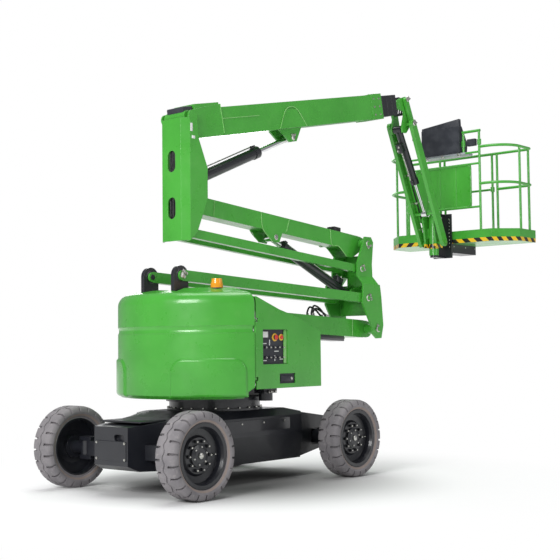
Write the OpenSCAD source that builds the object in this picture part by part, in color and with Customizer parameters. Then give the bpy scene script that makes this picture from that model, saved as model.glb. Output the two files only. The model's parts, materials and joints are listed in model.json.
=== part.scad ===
// Articulating boom lift on four wheels, in millimetres, +Z up, +X towards the platform.
// Sizes below are in the machine's own layout: X = 0 on the swing axis, Z = 0 on the floor.

/* [Stance] */
// Distance between the steer axle and the drive axle
wheelbase = 2120; // [1900:10:2400]
// Distance between the middles of the left and right tyres
track = 1594; // [1500:2:1700]
// Outside diameter of a tyre over its tread blocks
tyre_d = 740; // [690:2:780]
// Width of a tyre
tyre_w = 235; // [200:1:250]
// Diameter of the bead seat, where the tyre meets the rim
bead_d = 520; // [480:2:560]
// Distance of a kingpin from the middle of the machine
kingpin_y = 600; // [570:1:620]
// Length of a steering arm, from kingpin to tie rod
steer_arm = 160; // [140:1:180]
// Width of a steering arm
steer_arm_w = 36; // [30:1:36]

/* [Chassis] */
// Width of the chassis between the axles
chassis_w = 960; // [860:2:980]
// Width of the chassis beside the steered wheels
chassis_neck_w = 780; // [600:2:800]
// Width of the plate across the steer end
nose_w = 430; // [360:2:500]
// Overhang of the steer end's plate beyond its axle
nose_over = 230; // [180:2:270]
// Overhang of the drive end beyond its axle
tail_over = 180; // [150:2:240]
// Underside of the chassis above the floor
chassis_bottom = 190; // [160:2:230]
// Top of the chassis above the floor
chassis_top = 680; // [640:2:700]
// Radius of the slew ring
slew_r = 430; // [380:2:460]
// Height of the slew ring
slew_h = 85; // [70:1:100]

/* [Turntable] */
// Radius of the counterweight's round back
tail_r = 906; // [880:2:930]
// Face where counterweight and hoods meet, behind the swing axis
seam_x = 352; // [320:2:380]
// Underside of the counterweight
weight_z0 = 810; // [790:2:840]
// Crown of the counterweight
weight_z1 = 1820; // [1740:2:1860]
// Half width over the hoods
hood_y = 835; // [800:1:850]
// Front end of the hoods
hood_x = 690; // [640:2:740]
// Underside of the hoods
hood_z0 = 890; // [870:2:920]
// Thickness of a hood's wall
hood_wall = 12; // [8:1:16]
// Swing of a hinge pin's barrel, outside diameter
hinge_d = 28; // [24:1:32]
// Distance of each ear's middle plane from the machine's middle
ear_y = 196; // [190:1:204]
// Thickness of an ear
ear_t = 40; // [30:1:44]

/* [Riser] */
// Height of the lower arm's pivot on the turntable
arm_pivot_z = 1578; // [1550:2:1600]
// Distance of that pivot in from the counterweight's back
arm_pivot_in = 436; // [416:2:456]
// Length of the lower arm and the lower links
lower_len = 2788; // [2600:4:3000]
// Droop of the lower arm at rest, in degrees
lower_droop = 2.8; // [1:0.1:4]
// Length of the upper arm and the upper links
upper_len = 2589; // [2500:1:2800]
// Rise of the upper arm at rest, in degrees
upper_rise = 4.8; // [3:0.1:6]
// Height of the lower arm's box
lower_h = 190; // [160:2:210]
// Width of the lower arm's box
lower_w = 220; // [180:2:240]
// Height of the upper arm's box
upper_h = 166; // [150:2:180]
// Width of the upper arm's box
upper_w = 170; // [150:2:176]
// Height of the lower links
lower_link_h = 100; // [80:2:110]
// Width of a lower link
lower_link_w = 80; // [74:1:84]
// Height of the upper links
upper_link_h = 84; // [70:2:90]
// Width of an upper link
upper_link_w = 56; // [48:1:58]
// Distance of an upper link's middle from the machine's middle
upper_link_y = 122; // [120:1:126]
// Wall of every arm, link and boom box
box_wall = 8; // [5:0.5:9]
// Diameter of the main pins
pin_d = 50; // [40:1:54]

/* [Mast] */
// Distance of the mast's back face behind the upper arm's pin
mast_depth = 230.8; // [220:0.2:250]
// Half width of the mast
mast_y = 184; // [182:1:190]
// Thickness of the mast's plates
mast_t = 14; // [12:1:20]
// Chamfer between the back plate and the side plates
mast_chamfer = 62; // [40:1:70]

/* [Boom] */
// Elevation of the main boom at rest, in degrees
boom_angle = 12; // [9:0.5:14]
// Length of the main boom from tail to tip collar
boom_len = 3226; // [3000:2:3400]
// Height of the main boom's box
boom_h = 272; // [250:2:290]
// Width of the main boom's box
boom_w = 236; // [220:2:250]
// Gap between the main boom and the section that slides in it
boom_gap = 10; // [6:1:14]
// Length of the sliding section that shows at rest
inner_out = 330; // [280:2:400]

/* [Jib] */
// Length of the jib between its pins
jib_len = 1500; // [1400:4:1600]
// Droop of the jib at rest, in degrees
jib_droop = 65; // [60:0.5:68]
// Distance of a jib arm's middle from the machine's middle
jib_arm_y = 156; // [154:1:160]
// Width of a jib arm
jib_arm_w = 44; // [36:1:46]
// Height of a jib arm
jib_arm_h = 100; // [80:2:110]

/* [Platform] */
// Distance of the platform's rotor beyond the jib's lower pin
rotor_lead = 24.4; // [10:0.1:40]
// Depth of the platform
deck_depth = 646; // [600:2:680]
// Half width of the platform
deck_y = 920; // [820:2:960]
// Distance of the toe-board's underside below the jib's lower pin
deck_drop = 0; // [0:0.1:20]
// Height of the toe-board
toe_h = 150; // [120:2:180]
// Guard rail height above the platform's floor
rail_h = 1110; // [1050:5:1150]
// Height of the mid rail above the platform's floor
mid_rail_h = 660; // [560:5:700]
// Diameter of the guard rail's tubes
rail_d = 34; // [28:1:38]

/* [Fits] */
// Running clearance round a pin, on the radius
pin_gap = 0.3; // [0.2:0.05:0.5]
// Clearance beside a part that turns
side_gap = 6; // [5:0.5:8]

/* [Hidden] */
$fn = 48;

// Paints
green = [0.27, 0.66, 0.22];
dark = [0.12, 0.13, 0.16];
steel = [0.75, 0.76, 0.78];
tyre_grey = [0.52, 0.50, 0.51];

// Guard rail tubes stand inside the toe-board; the entry bar's sleeves reach a little past it
toe_t = 6;
rail_in = toe_t + rail_d / 2;
post_d = rail_d - 4;
sleeve_d = post_d + 22;

// Heights and places worked out from the sizes above
axle_x = wheelbase / 2;
nose_x = axle_x + nose_over;
tail_x = axle_x + tail_over;
// Where the chassis widens between the axles, at the steer end and at the drive end
steer_neck_x = axle_x - 440;
drive_neck_x = axle_x - 300;
neck_step = 40;
hub_z = tyre_d / 2;
bearing_gap = 0.5;
table_z = chassis_top + slew_h + bearing_gap;
disc_t = 35;

// Distance from a pin's axis to the square end of a bar, which a round boss closes
bar_end = 9;
// Step between the face of a bar and the face of the boss on it
boss_step = 1;

// Pins of the riser, [x, z]
arm_pin = [-tail_r + arm_pivot_in, arm_pivot_z];
ear_offset = [-175, 335];
ear_pin = arm_pin + ear_offset;
lower_dir = [cos(lower_droop), -sin(lower_droop)];
knuckle_arm_pin = arm_pin + lower_len * lower_dir;
knuckle_link_pin = ear_pin + lower_len * lower_dir;
knuckle_top_pin = knuckle_arm_pin + [-54, 938];
upper_offset = [-120, -280];
knuckle_upper_link_pin = knuckle_top_pin + upper_offset;
upper_dir = [-cos(upper_rise), sin(upper_rise)];
mast_arm_pin = knuckle_top_pin + upper_len * upper_dir;
mast_link_pin = knuckle_upper_link_pin + upper_len * upper_dir;

mast_back_x = mast_depth - mast_arm_pin[0];

// Riser cylinder: base on the knuckle, eye under the upper arm
riser_base = knuckle_top_pin + [-160, -560];
riser_lug_s = 1430;
riser_lug_drop = 136;
riser_eye = knuckle_top_pin + riser_lug_s * upper_dir + riser_lug_drop * [-upper_dir[1], upper_dir[0]];

// Plates of the knuckle
low_plate_in = ear_y + lower_link_w / 2 + side_gap;
low_plate_t = 22;
up_plate_in = upper_link_y + upper_link_w / 2 + 10;
up_plate_t = 22;

// Main boom, pinned at the top of the mast
boom_pin = [-mast_back_x + 100, mast_arm_pin[1] + 800];
boom_dir = [cos(boom_angle), sin(boom_angle)];
boom_up = [-sin(boom_angle), cos(boom_angle)];
boom_axis_drop = 70;
boom_start = boom_pin - boom_axis_drop * boom_up;
boom_tail = 62;
boom_tip = boom_len - boom_tail;
lift_base = [mast_arm_pin[0] - 10, mast_arm_pin[1] + 210];
lift_lug_s = 1540;
lift_lug_clear = 98;
lift_lug_drop = boom_h / 2 + lift_lug_clear;
lift_eye = boom_start + lift_lug_s * boom_dir - lift_lug_drop * boom_up;
inner_h = boom_h - 2 * box_wall - 2 * boom_gap;
inner_w = boom_w - 2 * box_wall - 2 * boom_gap;
inner_tip = boom_tip + inner_out;

// Jib bracket at the tip of the sliding section
tip_pin = boom_start + (inner_tip + 70) * boom_dir;
jib_top_pin = tip_pin + [110, 70];
jib_arm_pin = tip_pin + [175, -210];
jib_dir = [cos(jib_droop), -sin(jib_droop)];
end_top_pin = jib_top_pin + jib_len * jib_dir;
end_arm_pin = jib_arm_pin + jib_len * jib_dir;
bracket_in = 62;
bracket_t = 24;
jib_link_y = 110;
jib_link_w = 36;
jib_link_h = 66;
jib_base = jib_arm_pin + [-65, -60];
jib_eye_s = 1120;
jib_eye = jib_arm_pin + jib_eye_s * jib_dir;
jib_rod_eye_w = 70;

// Platform and its rotator
rotor_gap = 220;
rotor_x = end_arm_pin[0] + rotor_lead;
deck_rear_x = rotor_x + rotor_gap;
deck_front_x = deck_rear_x + deck_depth;
deck_z = end_arm_pin[1] - deck_drop;
floor_t = 50;
deck_chamfer = 250;
rail_z = deck_z + floor_t + rail_h;
mid_z = deck_z + floor_t + mid_rail_h;

// Pieces are drawn in the machine's layout, then shifted so that the box's middle is at X = 0.
box_min_x = -wheelbase / 2 - tyre_d / 2;
box_max_x = deck_front_x - rail_in + sleeve_d / 2;
shift_x = -(box_min_x + box_max_x) / 2;

// Shifts a piece from the machine's layout to the part's own frame.
module placed() {
    translate([shift_x, 0, 0]) children();
}

// Children on both sides of the machine's middle plane.
module both_sides() {
    children();
    mirror([0, 1, 0]) children();
}

// Plate with an outline in X and Z, between two distances from the middle plane.
module side_plate(points, y0, y1) {
    translate([0, y1, 0]) rotate([90, 0, 0]) linear_extrude(y1 - y0) polygon(points);
}

// Round bar along Y at a place given as [x, z].
module cross_bar(p, d, y0, y1) {
    translate([p[0], y1, p[1]]) rotate([90, 0, 0]) cylinder(d = d, h = y1 - y0);
}

// Moves a piece drawn along +X to start at p and point along an angle above the horizontal.
module aimed(p, angle) {
    translate([p[0], 0, p[1]]) rotate([0, -angle, 0]) children();
}

// Hollow rectangular box along +X, open at both ends.
module box_tube(x0, x1, w, h, wall) {
    difference() {
        translate([x0, -w / 2, -h / 2]) cube([x1 - x0, w, h]);
        translate([x0 - 1, -w / 2 + wall, -h / 2 + wall]) cube([x1 - x0 + 2, w - 2 * wall, h - 2 * wall]);
    }
}

// Angle of a vector [x, z] above the horizontal.
function angle_of(v) = atan2(v[1], v[0]);

// Wheels and steering

// Distance from a tyre's flank in to its bead
bead_in = 30;

module tyre_shape() {
    shoulder = 34;
    wall_bulge = 12;
    half = tyre_w / 2;
    rotate([90, 0, 0]) rotate_extrude($fn = 96) polygon([
        [bead_d / 2, -half + bead_in], [bead_d / 2 + 18, -half + bead_in], [bead_d / 2 + 30, -half + wall_bulge],
        [tyre_d / 2 - 60, -half], [tyre_d / 2 - shoulder / 2, -half + 8],
        [tyre_d / 2, -half + shoulder], [tyre_d / 2, half - shoulder],
        [tyre_d / 2 - shoulder / 2, half - 8], [tyre_d / 2 - 60, half],
        [bead_d / 2 + 30, half - wall_bulge], [bead_d / 2 + 18, half - bead_in], [bead_d / 2, half - bead_in]
    ]);
}

// Outside faces -Y here: bead seat, dished disc, hub cap and a ring of nuts.
module rim_shape() {
    half = tyre_w / 2 - bead_in;
    seat = bead_d / 2 - pin_gap;
    rotate([90, 0, 0]) {
        rotate_extrude($fn = 96) polygon([
            [seat - 16, -half], [seat, -half], [seat, half + pin_gap], [seat + 14, half + pin_gap], [seat + 14, half + 8],
            [seat - 18, half + 8], [seat - 30, half - 20], [seat - 34, half - 66],
            [170, half - 78], [150, half - 56], [96, half - 56], [96, half - 40], [60, half - 28],
            [0, half - 28], [0, half - 90], [150, half - 90], [seat - 16, half - 104]
        ]);
        for (a = [0 : 36 : 324])
            rotate([0, 0, a]) translate([124, 0, half - 58]) cylinder(d = 30, h = 24, $fn = 6);
    }
}

module wheel_at(x, side) {
    placed() translate([x, side * track / 2, hub_z])
        if (side > 0) rotate([0, 0, 180]) children();
        else children();
}

module tyre_steer_left() { color(tyre_grey) wheel_at(-axle_x, 1) tyre_shape(); }
module tyre_steer_right() { color(tyre_grey) wheel_at(-axle_x, -1) tyre_shape(); }
module tyre_drive_left() { color(tyre_grey) wheel_at(axle_x, 1) tyre_shape(); }
module tyre_drive_right() { color(tyre_grey) wheel_at(axle_x, -1) tyre_shape(); }
module rim_steer_left() { color(dark) wheel_at(-axle_x, 1) rim_shape(); }
module rim_steer_right() { color(dark) wheel_at(-axle_x, -1) rim_shape(); }
module rim_drive_left() { color(dark) wheel_at(axle_x, 1) rim_shape(); }
module rim_drive_right() { color(dark) wheel_at(axle_x, -1) rim_shape(); }

// Inner face of a rim's disc, from the machine's middle: hubs stop just short of it.
hub_face_y = track / 2 + tyre_w / 2 - bead_in - 90;
hub_y = hub_face_y - pin_gap;
yoke_r = 62;
kingpin_d = 40;
beam_h = 130;
beam_w = 140;

module steer_axle() {
    eye_h = 34;
    color(dark) placed() translate([-axle_x, 0, hub_z]) {
        translate([-beam_w / 2, -kingpin_y + 90, -beam_h / 2]) cube([beam_w, 2 * kingpin_y - 180, beam_h]);
        both_sides() {
            for (z = [-beam_h / 2 - eye_h, beam_h / 2]) {
                translate([0, kingpin_y, z]) cylinder(r = yoke_r, h = eye_h);
                translate([-yoke_r, kingpin_y - 130, z]) cube([2 * yoke_r, 130, eye_h]);
            }
            translate([0, kingpin_y, -beam_h / 2 - eye_h]) cylinder(d = kingpin_d, h = beam_h + 2 * eye_h);
        }
    }
}

// Steering knuckle of the left side, at the kingpin; the right one is its mirror image.
module steer_knuckle() {
    post_h = beam_h - 2;
    difference() {
        union() {
            translate([0, 0, -post_h / 2]) cylinder(r = yoke_r - 8, h = post_h);
            rotate([-90, 0, 0]) cylinder(d = 110, h = hub_y - kingpin_y - 30);
            translate([0, hub_y - kingpin_y - 34, 0]) rotate([-90, 0, 0]) cylinder(d = 200, h = 34);
            translate([0, -steer_arm_w / 2, -post_h / 2]) cube([steer_arm, steer_arm_w, 26]);
            translate([steer_arm, 0, -post_h / 2]) cylinder(r = 30, h = 26);
            translate([steer_arm, 0, -post_h / 2 - 40]) cylinder(d = 24, h = 45);
        }
        translate([0, 0, -post_h]) cylinder(d = kingpin_d + 2 * pin_gap, h = 2 * post_h);
    }
}

module steer_knuckle_left() {
    color(dark) placed() translate([-axle_x, kingpin_y, hub_z]) steer_knuckle();
}
module steer_knuckle_right() {
    color(dark) placed() translate([-axle_x, -kingpin_y, hub_z]) mirror([0, 1, 0]) steer_knuckle();
}

module tie_rod() {
    eye_h = 30;
    eye_z = hub_z - beam_h / 2 + 1 - 40;
    color(dark) placed() translate([-axle_x + steer_arm, 0, eye_z]) difference() {
        union() {
            both_sides() translate([0, kingpin_y, 0]) cylinder(r = 26, h = eye_h);
            translate([0, kingpin_y - 20, eye_h / 2]) rotate([90, 0, 0]) cylinder(d = 30, h = 2 * kingpin_y - 40);
        }
        both_sides() translate([0, kingpin_y, -1]) cylinder(d = 24 + 2 * pin_gap, h = eye_h + 2);
    }
}

axle_box = 160;

// Rigid axle: a square case where the chassis holds it, round tubes and a gear case at each hub.
module drive_axle() {
    tube_d = 140;
    case_y = chassis_neck_w / 2 - 40;
    color(dark) placed() translate([axle_x, 0, hub_z]) {
        translate([-axle_box / 2, -case_y, -axle_box / 2]) cube([axle_box, 2 * case_y, axle_box]);
        rotate([90, 0, 0]) cylinder(d = tube_d, h = 2 * hub_y - 120, center = true);
        both_sides() translate([0, hub_y - 130, 0]) rotate([-90, 0, 0]) cylinder(d = 230, h = 130);
    }
}

// Chassis

module chassis_plan() {
    n = nose_w / 2;
    k = chassis_neck_w / 2;
    b = chassis_w / 2;
    polygon([
        [-nose_x, -n], [-nose_x + 260, -n - 70], [-steer_neck_x, -k], [-steer_neck_x + neck_step, -b],
        [drive_neck_x - neck_step, -b], [drive_neck_x, -k], [tail_x, -k + 20],
        [tail_x, k - 20], [drive_neck_x, k], [drive_neck_x - neck_step, b],
        [-steer_neck_x + neck_step, b], [-steer_neck_x, k], [-nose_x + 260, n + 70], [-nose_x, n]
    ]);
}

module chassis_frame() {
    side_crease = 440;
    axle_slot = beam_w / 2;
    color(dark) placed() difference() {
        intersection() {
            linear_extrude(chassis_top) chassis_plan();
            side_plate([
                [-nose_x, chassis_bottom + 70], [-nose_x + 110, chassis_bottom + 20],
                [-steer_neck_x + neck_step / 2, chassis_bottom], [drive_neck_x, chassis_bottom],
                [tail_x, chassis_bottom + 80], [tail_x, chassis_top - 120], [drive_neck_x + 60, chassis_top - 60],
                [slew_r + 90, chassis_top], [-slew_r - 90, chassis_top], [-axle_x + 300, chassis_top - 40],
                [-nose_x, chassis_top - 90]
            ], -chassis_w, chassis_w);
            rotate([90, 0, 90]) translate([0, 0, -2000]) linear_extrude(4000) polygon([
                [-chassis_w / 2 + 50, chassis_bottom], [chassis_w / 2 - 50, chassis_bottom],
                [chassis_w / 2, side_crease], [chassis_w / 2 - 8, chassis_top - 70],
                [chassis_w / 2 - 70, chassis_top], [-chassis_w / 2 + 70, chassis_top],
                [-chassis_w / 2 + 8, chassis_top - 70], [-chassis_w / 2, side_crease]
            ]);
        }
        // Slot for the steer axle's beam, and the space that the tie rod swings in
        translate([-axle_x - axle_slot, -chassis_w, hub_z - beam_h / 2]) cube([2 * axle_slot, 2 * chassis_w, beam_h]);
        translate([-axle_x + axle_slot + 6, -chassis_w, 0]) cube([steer_arm + 20, 2 * chassis_w, hub_z + 40]);
        translate([axle_x - axle_box / 2, -chassis_w, hub_z - axle_box / 2]) cube([axle_box, 2 * chassis_w, axle_box]);
        // Lashing slot and a round hole in the nose plate
        for (y = [-40, 40]) translate([-nose_x - 1, -110 + y, hub_z + 130]) rotate([0, 90, 0]) cylinder(d = 56, h = 40);
        translate([-nose_x - 1, -150, hub_z + 102]) cube([40, 80, 56]);
    }
}

lug_hole_d = 40;
lug_x0 = tail_x;

// Two plates with a hole each on the drive end, for lashing down or towing.
module tie_down_lugs() {
    color(dark) placed() for (y = [-260, 260]) difference() {
        union() {
            translate([lug_x0, y - 12, hub_z]) cube([60, 24, 100]);
            cross_bar([lug_x0 + 60, hub_z + 50], 100, y - 12, y + 12);
        }
        cross_bar([lug_x0 + 60, hub_z + 50], lug_hole_d, y - 20, y + 20);
    }
}

module slew_ring() {
    color(dark) placed() translate([0, 0, chassis_top]) rotate_extrude($fn = 96) polygon([
        [slew_r - 100, 0], [slew_r + 20, 0], [slew_r + 20, 22], [slew_r, 22],
        [slew_r, slew_h], [slew_r - 100, slew_h]
    ]);
}

// Turntable

web_in = ear_y - ear_t / 2;
web_out = ear_y + ear_t / 2;
ear_r = 90;
web_rear = ear_pin[0] - ear_r;
floor_plate_z = hood_z0 + 6;
floor_plate_t = 20;
floor_plate_y = hood_y - hood_wall - 10;
floor_plate_x = hood_x - hood_wall - 45;
floor_cut = 122;

module turntable_frame() {
    disc_top = table_z + disc_t;
    color(dark) placed() {
        translate([0, 0, table_z]) cylinder(r = slew_r + 30, h = disc_t, $fn = 96);
        translate([0, 0, floor_plate_z]) linear_extrude(floor_plate_t) polygon([
            [-seam_x + 6, -floor_plate_y], [floor_plate_x - floor_cut, -floor_plate_y],
            [floor_plate_x, -floor_plate_y + 1.35 * floor_cut], [floor_plate_x, floor_plate_y - 1.35 * floor_cut],
            [floor_plate_x - floor_cut, floor_plate_y], [-seam_x + 6, floor_plate_y]
        ]);
        both_sides() {
            difference() {
                union() {
                    side_plate([
                        [web_rear, disc_top], [web_rear, ear_pin[1]], [web_rear + 2 * ear_r, ear_pin[1]],
                        [web_rear + 2 * ear_r, arm_pin[1] + 110], [arm_pin[0] + 105, arm_pin[1] + 90],
                        [arm_pin[0] + 150, arm_pin[1] - 120], [-120, floor_plate_z + 200],
                        [slew_r, floor_plate_z + 100], [slew_r, disc_top - 5], [web_rear + 200, disc_top - 5]
                    ], web_in, web_out);
                    cross_bar(ear_pin, 2 * ear_r, web_in, web_out);
                }
                cross_bar([-250, floor_plate_z + 170], 90, web_in - 1, web_out + 1);
            }
            cross_bar(ear_pin, pin_d, ear_y - lower_link_w / 2 - 4, ear_y + lower_link_w / 2 + 12);
            // Rib under the floor plate, standing on the disc
            translate([-60, web_out - 1, disc_top - 1]) cube([40, 190, floor_plate_z - disc_top + 2]);
        }
        cross_bar(arm_pin, pin_d, -web_in - 5, web_in + 5);
    }
}

pocket_y = web_out + 34;

// Wedge that slopes the lower corner up to the hood's underside.
module side_slope() {
    rotate([90, 0, 0]) translate([0, 0, -400]) linear_extrude(400)
        polygon([[-150, -1], [1, -1], [1, hood_z0 - weight_z0 + 20]]);
}

// Round cast block with a rounded crown, open in the middle for the ears and the lower arm.
module counterweight() {
    crown_r = 110;
    groove_z = weight_z0 + 610;
    groove_r = 34;
    color(green) placed() difference() {
        intersection() {
            rotate_extrude($fn = 128) {
                polygon([
                    [0, weight_z0], [tail_r - 30, weight_z0], [tail_r, weight_z0 + 30],
                    [tail_r, weight_z1 - crown_r - 60], [tail_r - crown_r, weight_z1 - 60],
                    [tail_r - 2 * crown_r, weight_z1 - 22], [0, weight_z1]
                ]);
                translate([tail_r - crown_r, weight_z1 - crown_r - 60]) circle(r = crown_r, $fn = 64);
            }
            translate([-tail_r - 1, -hood_y, 0]) cube([tail_r - seam_x + 1, 2 * hood_y, weight_z1 + 1]);
        }
        translate([web_rear, -pocket_y, 0]) cube([tail_r, 2 * pocket_y, weight_z1 + 10]);
        // Groove round the block above the middle band
        translate([0, 0, groove_z]) rotate_extrude($fn = 128) translate([tail_r + 14, 0]) circle(r = groove_r, $fn = 40);
        // Slope at both lower corners beside the seam
        both_sides() translate([-seam_x, hood_y - 130, weight_z0]) side_slope();
        // Flat seat for the beacon
        translate([beacon_x, beacon_y, beacon_seat]) cylinder(d = beacon_d + 8, h = 200);
    }
    // Lugs and pins that carry the hoods
    color(green) placed() both_sides() {
        translate([hinge_x, hinge_y, hinge_z0]) cylinder(d = hinge_d / 2, h = hinge_z1 - hinge_z0);
        for (z = [hinge_z0, hinge_z1 - hinge_lug])
            translate([-seam_x, hinge_y - 8, z]) cube([hinge_x + seam_x + 8, 16, hinge_lug]);
    }
}

hinge_x = -seam_x + hinge_d / 2 + 8;
hinge_y = hood_y - hinge_d / 2 - 1;
hinge_z0 = hood_z0 + 80;
hinge_z1 = hood_z0 + 620;
hinge_lug = 20;

beacon_x = -460;
beacon_y = -480;
beacon_d = 112;
beacon_seat = weight_z1 - 36;

module beacon() {
    foot_h = 50;
    color("orange") placed() translate([beacon_x, beacon_y, beacon_seat]) {
        cylinder(d = beacon_d, h = foot_h);
        translate([0, 0, foot_h]) cylinder(d1 = beacon_d - 8, d2 = beacon_d - 20, h = 44);
    }
}

module battery_pack() {
    color(dark) placed() translate([-300, web_out + 60, floor_plate_z + floor_plate_t])
        cube([830, floor_plate_y - web_out - 90, 260]);
}

// Swing motor and its gear case, hanging under the floor plate beside the ring.
module slew_drive() {
    color(dark) placed() translate([120, -slew_r - 110, 0]) {
        translate([0, 0, floor_plate_z - 130]) cylinder(d = 130, h = 130);
        translate([-90, -60, floor_plate_z - 60]) cube([180, 120, 60]);
    }
}

// Outline of a hood seen from the side, in X and Z, inset by a wall.
function hood_outline(t) = [
    [-seam_x + 8, hood_z0 - t], [hood_x - 30 - t, hood_z0 - t], [hood_x - t, hood_z0 + 100], [hood_x - t, 1290],
    [hood_x - 120 - t, 1410 - t], [hood_x - 440 - t, 1530 - t], [-20, 1600 - t], [-seam_x + 8, 1716 - t]
];

hood_in = pocket_y + 14;
hood_corner = 150;
panel_x0 = -245;
panel_x1 = 97;
panel_z0 = 1107;
panel_z1 = 1417;
panel_depth = 60;
panel_recess = 12;
latch_x0 = -20;
latch_x1 = 200;
latch_z0 = hood_z0 + 40;
latch_z1 = hood_z0 + 130;

// Plan of a hood, inset by a wall; the inner edge faces the machine's middle.
module hood_plan(t) {
    polygon([
        [-seam_x + 8, hood_in - t], [hood_x - t, hood_in - t], [hood_x - t, hood_y - hood_corner - t / 2],
        [hood_x - hood_corner * 0.75 - t / 2, hood_y - t], [-seam_x + 8, hood_y - t]
    ]);
}

// Left hood: outer wall, top and front as one shell, open towards the middle and below, on a hinge barrel.
module hood_shell() {
    difference() {
        union() {
            difference() {
                intersection() {
                    side_plate(hood_outline(0), hood_in, hood_y);
                    linear_extrude(2000) hood_plan(0);
                }
                intersection() {
                    side_plate(hood_outline(hood_wall), hood_in - hood_wall, hood_y - hood_wall);
                    translate([-1, 0, 0]) linear_extrude(2000) hood_plan(hood_wall);
                }
                // Room for the hinge pin's lugs and the barrel
                translate([-seam_x, hinge_y - hinge_d / 2 - 4, 0]) cube([hinge_x + seam_x, 2 * hinge_d, 2000]);
                for (z = [hinge_z0, hinge_z1 - hinge_lug])
                    translate([-seam_x, hinge_y - 30, z - 6]) cube([hinge_x + seam_x + 22, 60, hinge_lug + 12]);
            }
            translate([hinge_x, hinge_y, hinge_z0 + hinge_lug + 6])
                cylinder(d = hinge_d, h = hinge_z1 - hinge_z0 - 2 * hinge_lug - 12);
        }
        translate([hinge_x, hinge_y, hinge_z0]) cylinder(d = hinge_d / 2 + 2 * pin_gap, h = hinge_z1 - hinge_z0);
    }
}

module hood_left() { color(green) placed() hood_shell(); }

module hood_right() {
    color(green) placed() difference() {
        mirror([0, 1, 0]) hood_shell();
        translate([panel_x0, -hood_y - 1, panel_z0]) cube([panel_x1 - panel_x0, hood_wall + 2, panel_z1 - panel_z0]);
        translate([latch_x0, -hood_y - 1, latch_z0]) cube([latch_x1 - latch_x0, hood_wall + 2, latch_z1 - latch_z0]);
    }
}

// Ground control box behind its opening in the right hood, with push buttons, and the hood's latch.
module control_panel() {
    rim = 20;
    wall_y = -hood_y + hood_wall;
    face_y = wall_y + panel_recess;
    color(dark) placed() {
        difference() {
            translate([panel_x0 - rim, wall_y, panel_z0 - rim])
                cube([panel_x1 - panel_x0 + 2 * rim, panel_depth, panel_z1 - panel_z0 + 2 * rim]);
            translate([panel_x0, wall_y - 1, panel_z0]) cube([panel_x1 - panel_x0, panel_recess + 1, panel_z1 - panel_z0]);
        }
        translate([latch_x0 - 15, wall_y, latch_z0 - 5]) cube([latch_x1 - latch_x0 + 30, 33, latch_z1 - latch_z0 + 20]);
        cross_bar([-60, panel_z1 - 70], 44, face_y - 20, face_y + 1);
        for (x = [-190, -130, -70, -10], z = [panel_z0 + 60, panel_z0 + 150])
            cross_bar([x, z], 22, face_y - 14, face_y + 1);
    }
}

// Riser

module riser_lower_arm() {
    cheek = 4;
    end_h = lower_h - 6;
    color(green) placed() difference() {
        union() {
            aimed(arm_pin, -lower_droop) {
                box_tube(80, lower_len - 70, lower_w, lower_h, box_wall);
                both_sides() for (x = [bar_end, lower_len - 260 - bar_end])
                    translate([x, lower_w / 2 - box_wall + 2, -end_h / 2]) cube([260, box_wall + cheek - 2, end_h]);
                // Hose guard under the far end
                translate([1500, -lower_w / 2 + 20, -lower_h / 2 - 50]) cube([900, lower_w - 40, 52]);
            }
            for (p = [arm_pin, knuckle_arm_pin]) cross_bar(p, end_h - 8, -lower_w / 2 - cheek + boss_step, lower_w / 2 + cheek - boss_step);
            cross_bar(arm_pin, 110, -web_in + side_gap, web_in - side_gap);
            cross_bar(knuckle_arm_pin, 110, -low_plate_in + side_gap, low_plate_in - side_gap);
        }
        for (p = [arm_pin, knuckle_arm_pin]) cross_bar(p, pin_d + 2 * pin_gap, -400, 400);
    }
}

// Two bars, forked over the ears at one end and bored for the knuckle at the other.
module riser_lower_links() {
    fork = 108;
    color(green) placed() both_sides() difference() {
        union() {
            translate([0, ear_y, 0]) aimed(ear_pin, -lower_droop)
                translate([bar_end, -lower_link_w / 2, -lower_link_h / 2])
                cube([lower_len - 2 * bar_end, lower_link_w, lower_link_h]);
            for (p = [ear_pin, knuckle_link_pin])
                cross_bar(p, lower_link_h - 8, ear_y - lower_link_w / 2 - boss_step, ear_y + lower_link_w / 2 + boss_step);
        }
        translate([0, ear_y, 0]) aimed(ear_pin, -lower_droop)
            translate([-lower_link_h, -ear_t / 2 - 5, -lower_link_h]) cube([lower_link_h + fork, ear_t + 10, 2 * lower_link_h]);
        translate([0, ear_y, 0]) aimed(ear_pin, -lower_droop)
            translate([fork + 60, -lower_link_w / 2 + box_wall, -lower_link_h / 2 + box_wall])
            cube([lower_len - fork - 160, lower_link_w - 2 * box_wall, lower_link_h - 2 * box_wall]);
        cross_bar(ear_pin, pin_d + 2 * pin_gap, 0, 400);
        cross_bar(knuckle_link_pin, pin_d + 2 * pin_gap, 0, 400);
    }
}

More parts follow.
